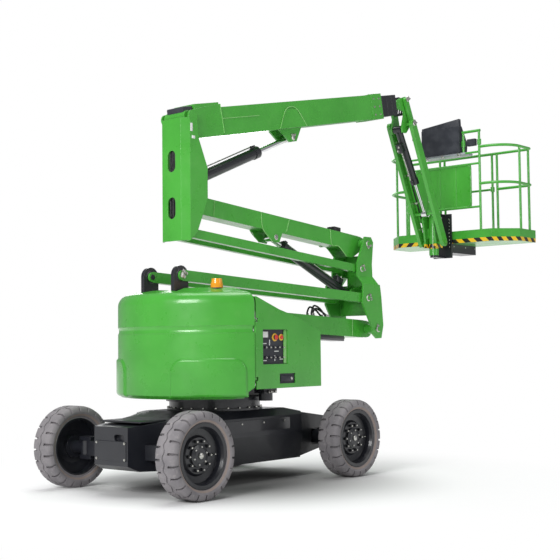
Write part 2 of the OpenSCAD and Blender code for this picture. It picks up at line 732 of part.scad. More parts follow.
// Middle knuckle: two bent side plates, a back plate and the lugs of the riser cylinder.
module knuckle() {
    p4 = knuckle_arm_pin;
    p3 = knuckle_link_pin;
    p2 = knuckle_upper_link_pin;
    p1 = knuckle_top_pin;
    bend_z0 = p3[1] + 150;
    bend_z1 = p2[1] - 80;
    low_out = low_plate_in + low_plate_t;
    up_out = up_plate_in + up_plate_t;
    back_x0 = p1[0] + 40;
    color(green) placed() {
        both_sides() {
            side_plate([
                [p3[0] - 80, bend_z0], [p3[0] - 100, p3[1] - 60], [p4[0] - 110, p4[1] + 20], [p4[0] - 90, p4[1] - 60],
                [p4[0] - 30, p4[1] - 104], [p4[0] + 60, p4[1] - 100], [p4[0] + 100, p4[1] + 40],
                [p4[0] + 70, p3[1] + 20], [p1[0] + 100, bend_z0]
            ], low_plate_in, low_out);
            side_plate([
                [p2[0] - 75, bend_z1], [p2[0] - 75, p2[1] + 60], [p1[0] - 90, p1[1] - 10], [p1[0] - 50, p1[1] + 76],
                [p1[0] + 60, p1[1] + 76], [p1[0] + 100, p1[1] + 20], [p1[0] + 70, p2[1] + 60], [p1[0] + 76, bend_z1]
            ], up_plate_in, up_out);
            rotate([90, 0, 90]) translate([0, 0, p2[0] - 75]) linear_extrude(p1[0] + 76 - p2[0] + 75) polygon([
                [low_plate_in, bend_z0 - 6], [low_out, bend_z0 - 6], [low_out, bend_z0], [up_out, bend_z1],
                [up_out, bend_z1 + 6], [up_plate_in, bend_z1 + 6], [up_plate_in, bend_z1], [low_plate_in, bend_z0]
            ]);
            cross_bar(p3, pin_d, ear_y - lower_link_w / 2 - 4, low_out + 14);
            cross_bar(p2, pin_d, upper_link_y - upper_link_w / 2 - 4, up_out + 14);
            // Lugs for the riser cylinder, standing on the back plate
            side_plate([
                [back_x0 + 4, riser_base[1] - 80], [back_x0 + 4, riser_base[1] + 110], [riser_base[0] - 20, riser_base[1] + 55],
                [riser_base[0] - 55, riser_base[1]], [riser_base[0] - 20, riser_base[1] - 55]
            ], 62, 84);
        }
        cross_bar(p4, pin_d, -low_out - 14, low_out + 14);
        cross_bar(p1, pin_d, -up_out - 14, up_out + 14);
        cross_bar(riser_base, pin_d, -84, 84);
        translate([back_x0, -up_plate_in - 4, bend_z1 - 4]) cube([20, 2 * up_plate_in + 8, p1[1] - 120 - bend_z1]);
        translate([back_x0, -low_plate_in - 4, p4[1] + 150]) cube([20, 2 * low_plate_in + 8, bend_z0 - p4[1] - 150]);
        translate([back_x0, -up_plate_in + 20, bend_z0 - 4]) cube([20, 2 * up_plate_in - 40, bend_z1 - bend_z0 + 8]);
    }
}

// Drawn along +X from the knuckle and turned over, so that the arm's underside is towards +Z here.
module riser_upper_arm() {
    cheek = 3;
    end_h = upper_h - 6;
    top = -end_h / 2;
    low = end_h / 2;
    y0 = upper_w / 2 - 4;
    y1 = upper_w / 2 + cheek;
    color(green) placed() difference() {
        union() {
            aimed(knuckle_top_pin, 180 - upper_rise) {
                box_tube(60, upper_len - 60, upper_w, upper_h, box_wall);
                both_sides() {
                    // Doubler with the lug of the riser cylinder
                    side_plate([
                        [riser_lug_s - 190, top], [riser_lug_s + 250, top], [riser_lug_s + 210, low],
                        [riser_lug_s + 60, riser_lug_drop + 50], [riser_lug_s - 50, riser_lug_drop + 50],
                        [riser_lug_s - 90, low], [riser_lug_s - 150, low - 20]
                    ], y0, y1);
                    // Doubler at the knuckle, with a deeper belly
                    side_plate([
                        [bar_end, top], [560, top], [520, low], [400, low], [250, low + 90], [150, low + 90], [bar_end, low]
                    ], y0, y1);
                    side_plate([[upper_len - 240, top], [upper_len - bar_end, top], [upper_len - bar_end, low], [upper_len - 240, low]],
                        y0, y1);
                }
                // Rubber rest for the boom on the arm's back
                translate([330, -50, -upper_h / 2 - 50]) cube([110, 100, 52]);
            }
            for (p = [knuckle_top_pin, mast_arm_pin]) cross_bar(p, end_h - 8, -y1 + boss_step, y1 - boss_step);
            cross_bar(knuckle_top_pin, 100, -up_plate_in + side_gap, up_plate_in - side_gap);
            cross_bar(mast_arm_pin, 100, -mast_y + mast_t + side_gap, mast_y - mast_t - side_gap);
        }
        for (p = [knuckle_top_pin, mast_arm_pin]) cross_bar(p, pin_d + 2 * pin_gap, -400, 400);
    }
}

module riser_upper_links() {
    y0 = upper_link_y - upper_link_w / 2;
    y1 = upper_link_y + upper_link_w / 2;
    color(green) placed() both_sides() difference() {
        union() {
            translate([0, upper_link_y, 0]) aimed(knuckle_upper_link_pin, 180 - upper_rise)
                translate([bar_end, -upper_link_w / 2, -upper_link_h / 2])
                cube([upper_len - 2 * bar_end, upper_link_w, upper_link_h]);
            cross_bar(knuckle_upper_link_pin, upper_link_h - 8, y0 - boss_step, y1 + 4);
            cross_bar(mast_link_pin, upper_link_h - 8, y0 - boss_step, y1 + boss_step);
        }
        translate([0, upper_link_y, 0]) aimed(knuckle_upper_link_pin, 180 - upper_rise)
            translate([120, -upper_link_w / 2 + box_wall, -upper_link_h / 2 + box_wall])
            cube([upper_len - 240, upper_link_w - 2 * box_wall, upper_link_h - 2 * box_wall]);
        cross_bar(knuckle_upper_link_pin, pin_d + 2 * pin_gap, 0, 400);
        cross_bar(mast_link_pin, pin_d + 2 * pin_gap, 0, 400);
    }
}

// Hydraulic cylinders

// Barrel along +X from its base eye: eye, tube with a closed foot and a gland that fits the rod.
module barrel(len, od, bore, rod_d, eye_w, eye_r) {
    difference() {
        union() {
            translate([eye_r * 0.6, 0, 0]) rotate([0, 90, 0]) cylinder(d = od, h = len - eye_r * 0.6);
            translate([len - 70, 0, 0]) rotate([0, 90, 0]) cylinder(d = od + 14, h = 70);
            cross_bar([0, 0], 2 * eye_r, -eye_w / 2, eye_w / 2);
        }
        translate([eye_r + 20, 0, 0]) rotate([0, 90, 0]) cylinder(d = bore, h = len - eye_r - 60);
        rotate([0, 90, 0]) translate([0, 0, len - 60]) cylinder(d = rod_d + 2 * pin_gap, h = 100);
        cross_bar([0, 0], pin_d + 2 * pin_gap, -eye_w, eye_w);
    }
}

// Rod along +X ending in an open eye at x = len.
module rod(x0, len, d, eye_w, eye_r, eye_bore) {
    difference() {
        union() {
            translate([x0, 0, 0]) rotate([0, 90, 0]) cylinder(d = d, h = len - x0);
            cross_bar([len, 0], 2 * eye_r, -eye_w / 2, eye_w / 2);
        }
        cross_bar([len, 0], eye_bore, -eye_w, eye_w);
    }
}

riser_span = riser_eye - riser_base;
riser_angle = angle_of(riser_span);
riser_length = norm(riser_span);
riser_barrel = riser_length - 190;
lift_span = lift_eye - lift_base;
lift_angle = angle_of(lift_span);
lift_length = norm(lift_span);
lift_barrel = lift_length - 520;
jib_span = jib_eye - jib_base;
jib_angle = angle_of(jib_span);
jib_length = norm(jib_span);
jib_barrel = jib_length - 400;

module riser_cylinder() {
    color(dark) placed() aimed(riser_base, riser_angle) barrel(riser_barrel, 104, 80, 56, 112, 48);
}
module riser_rod() {
    color(steel) placed() aimed(riser_base, riser_angle) rod(330, riser_length, 56, 84, 40, 40);
}
module lift_cylinder() {
    color(dark) placed() aimed(lift_base, lift_angle) barrel(lift_barrel, 110, 84, 56, 110, 52);
}
module lift_rod() {
    color(steel) placed() aimed(lift_base, lift_angle) rod(300, lift_length, 56, 84, 42, 40);
}
module jib_cylinder() {
    color(dark) placed() aimed(jib_base, jib_angle) barrel(jib_barrel, 84, 64, 40, 100, 44);
}
module jib_rod() {
    color(steel) placed() aimed(jib_base, jib_angle) rod(300, jib_length, 40, jib_rod_eye_w, 36, 30);
}

// Mast

module mast() {
    z0 = mast_link_pin[1] - 75;
    z1 = boom_pin[1] - 20;
    b = -mast_back_x;
    ins = mast_y - mast_t;
    color(green) placed() {
        difference() {
            intersection() {
                translate([0, 0, z0 - 100]) linear_extrude(z1 + 200 - z0) difference() {
                    polygon([
                        [b, -mast_y + mast_chamfer], [b, mast_y - mast_chamfer], [b + mast_chamfer, mast_y], [0, mast_y],
                        [0, -mast_y], [b + mast_chamfer, -mast_y]
                    ]);
                    polygon([
                        [b + mast_t, -mast_y + mast_chamfer + 6], [b + mast_t, mast_y - mast_chamfer - 6],
                        [b + mast_chamfer + 12, ins], [1, ins], [1, -ins], [b + mast_chamfer + 12, -ins]
                    ]);
                }
                side_plate([
                    [b, z0], [b + 60, z0], [mast_link_pin[0] + 44, mast_link_pin[1] + 15], [mast_arm_pin[0] + 58, mast_arm_pin[1] + 50],
                    [mast_arm_pin[0] + 58, mast_arm_pin[1] + 340], [boom_pin[0] + 75, boom_pin[1] - 200], [boom_pin[0] + 56, z1],
                    [b, z1]
                ], -300, 300);
            }
            // Two tall openings in the back plate
            for (z = [z0 + 305, z0 + 740]) {
                for (dz = [-50, 50]) translate([b - 1, 0, z + dz]) rotate([0, 90, 0]) cylinder(d = 100, h = mast_t + 2);
                translate([b - 1, -50, z - 50]) cube([mast_t + 2, 100, 100]);
            }
        }
        both_sides() {
            cross_bar(boom_pin, 112, ins, mast_y);
            cross_bar(mast_link_pin, pin_d, upper_link_y - upper_link_w / 2 - 4, ins + 1);
        }
        cross_bar(boom_pin, pin_d, -ins - 1, ins + 1);
        cross_bar(mast_arm_pin, pin_d, -ins - 1, ins + 1);
        cross_bar(lift_base, pin_d, -ins - 1, ins + 1);
    }
}

// Main boom

module boom_outer() {
    root = 430;
    collar = 200;
    hw = boom_w / 2;
    hh = boom_h / 2;
    color(green) placed() difference() {
        union() {
            aimed(boom_start, boom_angle) {
                box_tube(90, boom_tip, boom_w, boom_h, box_wall);
                // Taller root and tip collars round the box
                difference() {
                    translate([90, -hw - 10, -hh]) cube([root - 90, 2 * hw + 20, boom_h + 46]);
                    translate([80, -hw + box_wall, -hh + box_wall]) cube([root, boom_w - 2 * box_wall, boom_h - 2 * box_wall]);
                }
                difference() {
                    translate([boom_tip - collar, -hw - 8, -hh - 8]) cube([collar, 2 * hw + 16, boom_h + 16]);
                    translate([boom_tip - collar - 1, -hw + box_wall, -hh + box_wall])
                        cube([collar + 2, boom_w - 2 * box_wall, boom_h - 2 * box_wall]);
                }
                both_sides() {
                    side_plate([[-30, boom_axis_drop - 50], [140, -hh + 12], [root + 20, -hh + 12], [root + 20, hh + 30], [-30, hh - 12]],
                        hw - box_wall, hw + 12);
                    // Lug of the lift cylinder under the box
                    side_plate([[lift_lug_s - 200, -hh + 2], [lift_lug_s - 60, -lift_lug_drop - 40],
                        [lift_lug_s + 50, -lift_lug_drop - 40], [lift_lug_s + 160, -hh + 2]], 56, 78);
                    side_plate([[lift_lug_s - 240, -hh + 2], [lift_lug_s - 100, 60], [lift_lug_s + 60, 60], [lift_lug_s + 200, -hh + 2]],
                        hw - 2, hw + 6);
                }
            }
            cross_bar(boom_pin, 2 * boom_tail, -hw - 14, hw + 14);
        }
        cross_bar(boom_pin, pin_d + 2 * pin_gap, -400, 400);
    }
}

module boom_inner() {
    start = 300;
    tongue = 50;
    color(dark) placed() difference() {
        union() {
            aimed(boom_start, boom_angle) {
                box_tube(start, inner_tip - 20, inner_w, inner_h, box_wall);
                translate([inner_tip - 24, -inner_w / 2, -inner_h / 2]) cube([24, inner_w, inner_h]);
                // Wear pads that ride in the main boom
                for (x = [start, boom_tip - 160]) both_sides()
                    translate([x, inner_w / 2 - 1, -50]) cube([100, boom_gap + 0.5, 100]);
                for (x = [start, boom_tip - 160], z = [-inner_h / 2 - boom_gap + 0.5, inner_h / 2 - 1])
                    translate([x, -50, z]) cube([100, 100, boom_gap + 0.5]);
                both_sides() side_plate([[inner_tip - 10, -80], [inner_tip + 60, -58], [inner_tip + 60, 58], [inner_tip - 10, 80]],
                    tongue - 22, tongue);
            }
            both_sides() cross_bar(tip_pin, 132, tongue - 22 - boss_step, tongue + boss_step);
        }
        cross_bar(tip_pin, pin_d + 2 * pin_gap, -400, 400);
    }
}

// Jib

// Two plates with a notch on the boom's side, so that the boom can stand steeply under them.
module jib_bracket() {
    y0 = bracket_in;
    y1 = bracket_in + bracket_t;
    color(green) placed() {
        both_sides() {
            side_plate([
                tip_pin + [-30, 40], tip_pin + [-30, -40], tip_pin + [20, -50], tip_pin + [105, -62], tip_pin + [112, -110],
                jib_base + [-44, 8], jib_base + [-30, -46], jib_base + [40, -44], jib_arm_pin + [20, -56],
                jib_arm_pin + [56, 0], jib_top_pin + [52, 0], jib_top_pin + [30, 48], tip_pin + [20, 76]
            ], y0, y1);
            cross_bar(tip_pin, 118, y0 - boss_step, y1 + boss_step);
            cross_bar(jib_top_pin, 40, y0, jib_link_y + jib_link_w / 2 + 6);
            cross_bar(jib_arm_pin, 40, y0, jib_arm_y + jib_arm_w / 2 + 10);
        }
        cross_bar(tip_pin, pin_d, -y1 - 8, y1 + 8);
        cross_bar(jib_base, pin_d, -y1 + 2, y1 - 2);
    }
}

// Two flat bars; a stub on the inside of each holds the rod's eye of the jib cylinder.
module jib_arms() {
    y0 = jib_arm_y - jib_arm_w / 2;
    y1 = jib_arm_y + jib_arm_w / 2;
    color(green) placed() both_sides() {
        difference() {
            union() {
                translate([0, jib_arm_y, 0]) aimed(jib_arm_pin, -jib_droop)
                    translate([bar_end, -jib_arm_w / 2, -jib_arm_h / 2]) cube([jib_len - 2 * bar_end, jib_arm_w, jib_arm_h]);
                cross_bar(jib_arm_pin, jib_arm_h - 8, y0 - boss_step, y1 + boss_step);
                cross_bar(end_arm_pin, jib_arm_h - 8, y0 - boss_step, y1 + boss_step);
            }
            cross_bar(jib_arm_pin, 40 + 2 * pin_gap, 0, 400);
            cross_bar(end_arm_pin, 40 + 2 * pin_gap, 0, 400);
        }
        cross_bar(jib_eye, 36, jib_rod_eye_w / 2 + 3, y0 + 1);
    }
}

module jib_links() {
    y0 = jib_link_y - jib_link_w / 2;
    y1 = jib_link_y + jib_link_w / 2;
    color(green) placed() both_sides() difference() {
        union() {
            translate([0, jib_link_y, 0]) aimed(jib_top_pin, -jib_droop)
                translate([bar_end, -jib_link_w / 2, -jib_link_h / 2]) cube([jib_len - 2 * bar_end, jib_link_w, jib_link_h]);
            cross_bar(jib_top_pin, jib_link_h - 8, y0 - boss_step, y1 + boss_step);
            cross_bar(end_top_pin, jib_link_h - 8, y0 - boss_step, y1 + boss_step);
        }
        cross_bar(jib_top_pin, 40 + 2 * pin_gap, 0, 400);
        cross_bar(end_top_pin, 40 + 2 * pin_gap, 0, 400);
    }
}

rotor_d = 116;
rotor_z0 = end_arm_pin[1] - 150;
rotor_z1 = end_top_pin[1] + 60;

// Bracket at the jib's lower end with the rotary actuator of the platform.
module jib_end() {
    y0 = bracket_in;
    y1 = bracket_in + bracket_t;
    color(green) placed() {
        both_sides() {
            side_plate([
                end_top_pin + [-38, -20], end_top_pin + [-20, 38], end_top_pin + [80, 50], end_arm_pin + [85, 40],
                end_arm_pin + [85, -60], end_arm_pin + [-60, -60], end_arm_pin + [-60, 20]
            ], y0, y1);
            cross_bar(end_top_pin, 90, y0 - boss_step, y1 + boss_step);
            cross_bar(end_top_pin, 40, y0, jib_link_y + jib_link_w / 2 + 6);
            cross_bar(end_arm_pin, 40, y0, jib_arm_y + jib_arm_w / 2 + 10);
            translate([rotor_x - 40, 20, end_arm_pin[1] + 60]) cube([80, y0 - 16, 120]);
        }
        translate([rotor_x, 0, rotor_z0]) cylinder(d = rotor_d, h = rotor_z1 - rotor_z0);
    }
}

support_t = 26;
support_x = deck_rear_x - 28;
support_arm_w = 80;
beam_under_h = 110;

// Support that turns on the actuator: two arms, an upright and a beam under the floor.
module platform_support() {
    z0 = rotor_z0 - 0.5 - support_t;
    z1 = rotor_z1 + 0.5;
    color(dark) placed() {
        for (z = [z0, z1]) {
            translate([rotor_x, 0, z]) cylinder(d = support_arm_w + 16, h = support_t);
            translate([rotor_x, -support_arm_w / 2, z]) cube([support_x - rotor_x + 20, support_arm_w, support_t]);
        }
        translate([support_x, -130, z0]) cube([24, 260, z1 - z0 + support_t]);
        translate([support_x, -110, deck_z - beam_under_h]) cube([deck_front_x - 60 - support_x, 220, beam_under_h]);
    }
}

// Platform

module deck_plan(inset) {
    x0 = deck_rear_x + inset;
    x1 = deck_front_x - inset;
    y = deck_y - inset;
    c = deck_chamfer - inset * 0.586;
    polygon([[x0, -y + c], [x0 + c, -y], [x1, -y], [x1, y], [x0 + c, y], [x0, y - c]]);
}

module platform_floor() {
    color(green) placed() translate([0, 0, deck_z]) difference() {
        linear_extrude(toe_h) deck_plan(0);
        translate([0, 0, floor_t]) linear_extrude(toe_h) deck_plan(toe_t);
    }
}

// Straight tube between two points.
module tube(a, b, d) {
    v = b - a;
    translate(a) rotate([0, acos(v[2] / norm(v)), atan2(v[1], v[0])]) cylinder(d = d, h = norm(v));
}

rear_post_y = 520;
gate_y = 350;
bend_r = 300;
end_post_y = gate_y + 70;
corner_r = 60;
rail_x0 = deck_rear_x + rail_in;
rail_x1 = deck_front_x - rail_in;
rail_y = deck_y - rail_in;

// Quarter bend of a rail about a vertical axis.
module quarter_bend(x, y, z, r, turn) {
    translate([x, y, z]) rotate([0, 0, turn])
        rotate_extrude(angle = 90, $fn = 64) translate([r, 0]) circle(d = rail_d, $fn = 24);
}

// Rail round one end of the platform, from its rear post to a place on the front.
module end_rail(z, front_y) {
    tube([rail_x0, rear_post_y, z], [rail_x0, rail_y - bend_r, z], rail_d);
    quarter_bend(rail_x0 + bend_r, rail_y - bend_r, z, bend_r, 90);
    tube([rail_x0 + bend_r, rail_y, z], [rail_x1 - corner_r, rail_y, z], rail_d);
    quarter_bend(rail_x1 - corner_r, rail_y - corner_r, z, corner_r, 0);
    tube([rail_x1, rail_y - corner_r, z], [rail_x1, front_y, z], rail_d);
}

module guard_rails() {
    post_z = deck_z + floor_t;
    hoop_w = 220;
    hoop_z = rail_z + 200;
    panel_y = 400;
    color(green) placed() {
        both_sides() {
            end_rail(rail_z, 0);
            end_rail(mid_z, end_post_y);
            for (p = [[rail_x0, rear_post_y], [rail_x0 + bend_r, rail_y], [rail_x1 - corner_r - 20, rail_y],
                [rail_x1, gate_y], [rail_x1, end_post_y]])
                translate([p[0], p[1], post_z]) cylinder(d = post_d, h = rail_z - post_z);
        }
        // Rear frame with its closed panel
        for (z = [post_z + 380, post_z + 910, rail_z - 60])
            tube([rail_x0, -rear_post_y, z], [rail_x0, rear_post_y, z], rail_d - 8);
        translate([rail_x0 - 3, -panel_y, post_z + 380]) cube([6, 2 * panel_y, 530]);
        // Hoop beside the console
        tube([rail_x0, -rear_post_y, rail_z - 10], [rail_x0, -rear_post_y, hoop_z], post_d);
        tube([rail_x0, -rear_post_y + hoop_w, rail_z - 60], [rail_x0, -rear_post_y + hoop_w, hoop_z], post_d);
        tube([rail_x0, -rear_post_y - post_d / 2, hoop_z], [rail_x0, -rear_post_y + hoop_w + post_d / 2, hoop_z], rail_d);
    }
}

// Control console on the rear rail.
module console() {
    z = rail_z - 60 + (rail_d - 8) / 2;
    color(dark) placed() side_plate([
        [deck_rear_x - 20, z], [deck_rear_x + 150, z], [deck_rear_x + 170, z + 130], [deck_rear_x + 40, z + 330],
        [deck_rear_x - 20, z + 330]
    ], -270, 280);
}

// Bar across the entry, sliding up its two posts on sleeves.
module drop_bar() {
    x = deck_front_x - rail_in;
    color(green) placed() difference() {
        union() {
            translate([x, -gate_y, mid_z]) rotate([-90, 0, 0]) cylinder(d = post_d - 2, h = 2 * gate_y);
            both_sides() translate([x, gate_y, mid_z - 30]) cylinder(d = sleeve_d, h = 60);
        }
        both_sides() translate([x, gate_y, mid_z - 40]) cylinder(d = post_d + 2 * pin_gap, h = 80);
    }
}

chassis_frame();
steer_axle();
drive_axle();
slew_ring();
tie_down_lugs();
steer_knuckle_left();
steer_knuckle_right();
tie_rod();
tyre_steer_left();
tyre_steer_right();
tyre_drive_left();
tyre_drive_right();
rim_steer_left();
rim_steer_right();
rim_drive_left();
rim_drive_right();
turntable_frame();
counterweight();
battery_pack();
slew_drive();
beacon();
hood_left();
hood_right();
control_panel();
riser_lower_arm();
riser_lower_links();
knuckle();
riser_upper_arm();
riser_upper_links();
riser_cylinder();
riser_rod();
mast();
boom_outer();
lift_cylinder();
lift_rod();
boom_inner();
jib_bracket();
jib_arms();
jib_links();
jib_cylinder();
jib_rod();
jib_end();
platform_support();
platform_floor();
guard_rails();
console();
drop_bar();
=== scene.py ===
"""Finishes the boom lift: paint and metal on its solids, with tread, fasteners, hoses and marks."""
import json
import math
from functools import partial

import bpy
import numpy as np
from mathutils import Matrix, Vector


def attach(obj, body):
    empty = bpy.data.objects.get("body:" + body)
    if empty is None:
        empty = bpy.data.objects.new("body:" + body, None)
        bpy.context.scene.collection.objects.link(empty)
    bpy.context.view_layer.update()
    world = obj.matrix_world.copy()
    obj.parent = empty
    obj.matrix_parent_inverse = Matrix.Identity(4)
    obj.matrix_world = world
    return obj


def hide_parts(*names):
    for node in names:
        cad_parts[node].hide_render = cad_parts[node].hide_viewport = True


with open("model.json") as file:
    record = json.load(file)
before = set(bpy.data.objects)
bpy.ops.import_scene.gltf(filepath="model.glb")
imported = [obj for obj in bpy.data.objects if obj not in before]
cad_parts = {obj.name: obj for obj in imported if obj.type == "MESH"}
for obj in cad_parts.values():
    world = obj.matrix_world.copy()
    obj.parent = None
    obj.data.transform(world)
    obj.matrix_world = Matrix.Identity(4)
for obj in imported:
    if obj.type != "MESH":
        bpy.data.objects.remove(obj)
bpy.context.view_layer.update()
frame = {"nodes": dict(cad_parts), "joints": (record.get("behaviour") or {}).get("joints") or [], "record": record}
nodes = frame["nodes"]
joints = {j["name"]: j for j in frame["joints"]}

# The swing axis carries the machine's layout: X of every place below is measured from it.
SWING_X = joints["swing"]["pos_m"][0]
MM = 1000.0


def place(x, y, z):
    """Point of the machine's layout, in metres, in the row frame."""
    return np.array([x + SWING_X, y, z])


# Camera: fitted to the photograph's wheels, mast and platform, for a square picture
CAMERA_AT = place(-7.666, -7.373, 1.274)
CAMERA_YAW = math.radians(40.47)
CAMERA_PITCH = math.radians(3.36)
CAMERA_ROLL = math.radians(-0.65)
FOCAL_PIXELS = 1113.1
PICTURE_PIXELS = 560
SENSOR_MM = 36.0


def aim_camera():
    """Camera with forward from yaw and pitch, level right turned by the roll, and up square to both."""
    forward = np.array([
        math.cos(CAMERA_YAW) * math.cos(CAMERA_PITCH),
        math.sin(CAMERA_YAW) * math.cos(CAMERA_PITCH),
        math.sin(CAMERA_PITCH),
    ])
    level = np.array([math.sin(CAMERA_YAW), -math.cos(CAMERA_YAW), 0.0])
    upright = np.cross(level, forward)
    right = level * math.cos(CAMERA_ROLL) + upright * math.sin(CAMERA_ROLL)
    up = upright * math.cos(CAMERA_ROLL) - level * math.sin(CAMERA_ROLL)
    data = bpy.data.cameras.new("photo_camera")
    data.sensor_width = SENSOR_MM
    data.lens = FOCAL_PIXELS * SENSOR_MM / PICTURE_PIXELS
    data.clip_end = 200.0
    camera = bpy.data.objects.new("photo_camera", data)
    turn = Matrix((right, up, -forward)).transposed().to_4x4()
    camera.matrix_world = Matrix.Translation(Vector(CAMERA_AT)) @ turn
    bpy.context.scene.collection.objects.link(camera)
    bpy.context.scene.camera = camera


# Studio
LAMP_AIM = place(1.2, 0.0, 1.6)
SKY_COLOUR = (0.96, 0.98, 1.0, 1.0)
SKY_STRENGTH = 0.31
WHITE = (1.0, 1.0, 1.0, 1.0)
FLOOR_REACH = 60.0
FLOOR_Z = -0.002
FLOOR_SIDES = 64
FLOOR_MIDDLE = place(0.1, -0.3, 0.0)
# Painted shadow: the floor's colour is this grey under the machine, fading to pale further out.
FLOOR_PAINTED_SHADOW = (0.30, 0.30, 0.295, 1.0)
FLOOR_PALE = (0.93, 0.93, 0.93, 1.0)


def soft_lamp(name, at, size, watts):
    """Square area lamp turned to the middle of the machine."""
    data = bpy.data.lights.new(name, "AREA")
    data.size = size
    data.energy = watts
    lamp = bpy.data.objects.new(name, data)
    turn = (Vector(LAMP_AIM) - Vector(at)).to_track_quat("-Z", "Y").to_matrix().to_4x4()
    lamp.matrix_world = Matrix.Translation(Vector(at)) @ turn
    bpy.context.scene.collection.objects.link(lamp)


def light_world():
    """Pale sky for the light, plain white where the camera looks past the machine."""
    world = bpy.data.worlds.new("studio")
    world.use_nodes = True
    bpy.context.scene.world = world
    tree = world.node_tree
    tree.nodes.clear()
    mix = tree.nodes.new("ShaderNodeMixShader")
    path = tree.nodes.new("ShaderNodeLightPath")
    tree.links.new(path.outputs["Is Camera Ray"], mix.inputs[0])
    for socket, colour, strength in ((1, SKY_COLOUR, SKY_STRENGTH), (2, WHITE, 1.0)):
        glow = tree.nodes.new("ShaderNodeBackground")
        glow.inputs["Color"].default_value = colour
        glow.inputs["Strength"].default_value = strength
        tree.links.new(glow.outputs[0], mix.inputs[socket])
    out = tree.nodes.new("ShaderNodeOutputWorld")
    tree.links.new(mix.outputs[0], out.inputs["Surface"])


def light_studio():
    """White world and four large soft lamps."""
    light_world()
    soft_lamp("key_lamp", place(-9.0, -2.2, 5.2), 4.0, 700.0)
    soft_lamp("side_lamp", place(3.5, -9.0, 4.5), 4.0, 120.0)
    soft_lamp("top_lamp", place(1.0, 0.5, 9.5), 6.0, 470.0)
    soft_lamp("back_lamp", place(6.0, 6.5, 5.5), 4.0, 230.0)


def floor_finish():
    """Painted shadow: the floor's colour is grey under the machine, on top of the cast shadow it keeps; white
    further out and clear from below.
    """
    paint = bpy.data.materials.new("studio_floor")
    paint.use_nodes = True
    tree = paint.node_tree
    tree.nodes.clear()
    add, link = tree.nodes.new, tree.links.new
    offset = add("ShaderNodeVectorMath")
    offset.operation = "SUBTRACT"
    offset.inputs[1].default_value = tuple(FLOOR_MIDDLE)
    link(add("ShaderNodeTexCoord").outputs["Object"], offset.inputs[0])
    distance = add("ShaderNodeVectorMath")
    distance.operation = "LENGTH"
    link(offset.outputs["Vector"], distance.inputs[0])

    def step(low, high):
        """Smooth step of the distance from the machine's middle."""
        node = add("ShaderNodeMapRange")
        node.interpolation_type = "SMOOTHSTEP"
        node.inputs["From Min"].default_value = low
        node.inputs["From Max"].default_value = high
        link(distance.outputs["Value"], node.inputs["Value"])
        return node.outputs["Result"]

    def mixed(factor, first, second):
        """Shader between two shaders, by a factor."""
        node = add("ShaderNodeMixShader")
        link(factor, node.inputs[0])
        link(first.outputs[0], node.inputs[1])
        link(second.outputs[0], node.inputs[2])
        return node

    # Painted shadow: the floor's colour runs from grey under the machine to pale further out.
    tone = add("ShaderNodeMix")
    tone.data_type = "RGBA"
    tone.inputs["A"].default_value = FLOOR_PAINTED_SHADOW
    tone.inputs["B"].default_value = FLOOR_PALE
    link(step(0.3, 2.1), tone.inputs["Factor"])
    matt = add("ShaderNodeBsdfDiffuse")
    link(tone.outputs["Result"], matt.inputs["Color"])
    fade = mixed(step(1.2, 3.6), matt, add("ShaderNodeEmission"))
    back = add("ShaderNodeNewGeometry").outputs["Backfacing"]
    under = mixed(back, fade, add("ShaderNodeBsdfTransparent"))
    link(under.outputs[0], add("ShaderNodeOutputMaterial").inputs["Surface"])
    return paint


def lay_floor():
    """Round floor disc just below the tyres."""
    angle = np.linspace(0.0, 2.0 * math.pi, FLOOR_SIDES, endpoint=False)
    height = np.full(FLOOR_SIDES, FLOOR_Z)
    rim = np.stack([np.cos(angle) * FLOOR_REACH, np.sin(angle) * FLOOR_REACH, height], axis=1)
    mesh = bpy.data.meshes.new("studio_floor")
    mesh.from_pydata(rim.tolist(), [], [list(range(FLOOR_SIDES))])
    mesh.materials.append(floor_finish())
    floor = bpy.data.objects.new("studio_floor", mesh)
    bpy.context.scene.collection.objects.link(floor)


aim_camera()
light_studio()
lay_floor()
bpy.context.scene.view_settings.view_transform = "Standard"


# Finishes

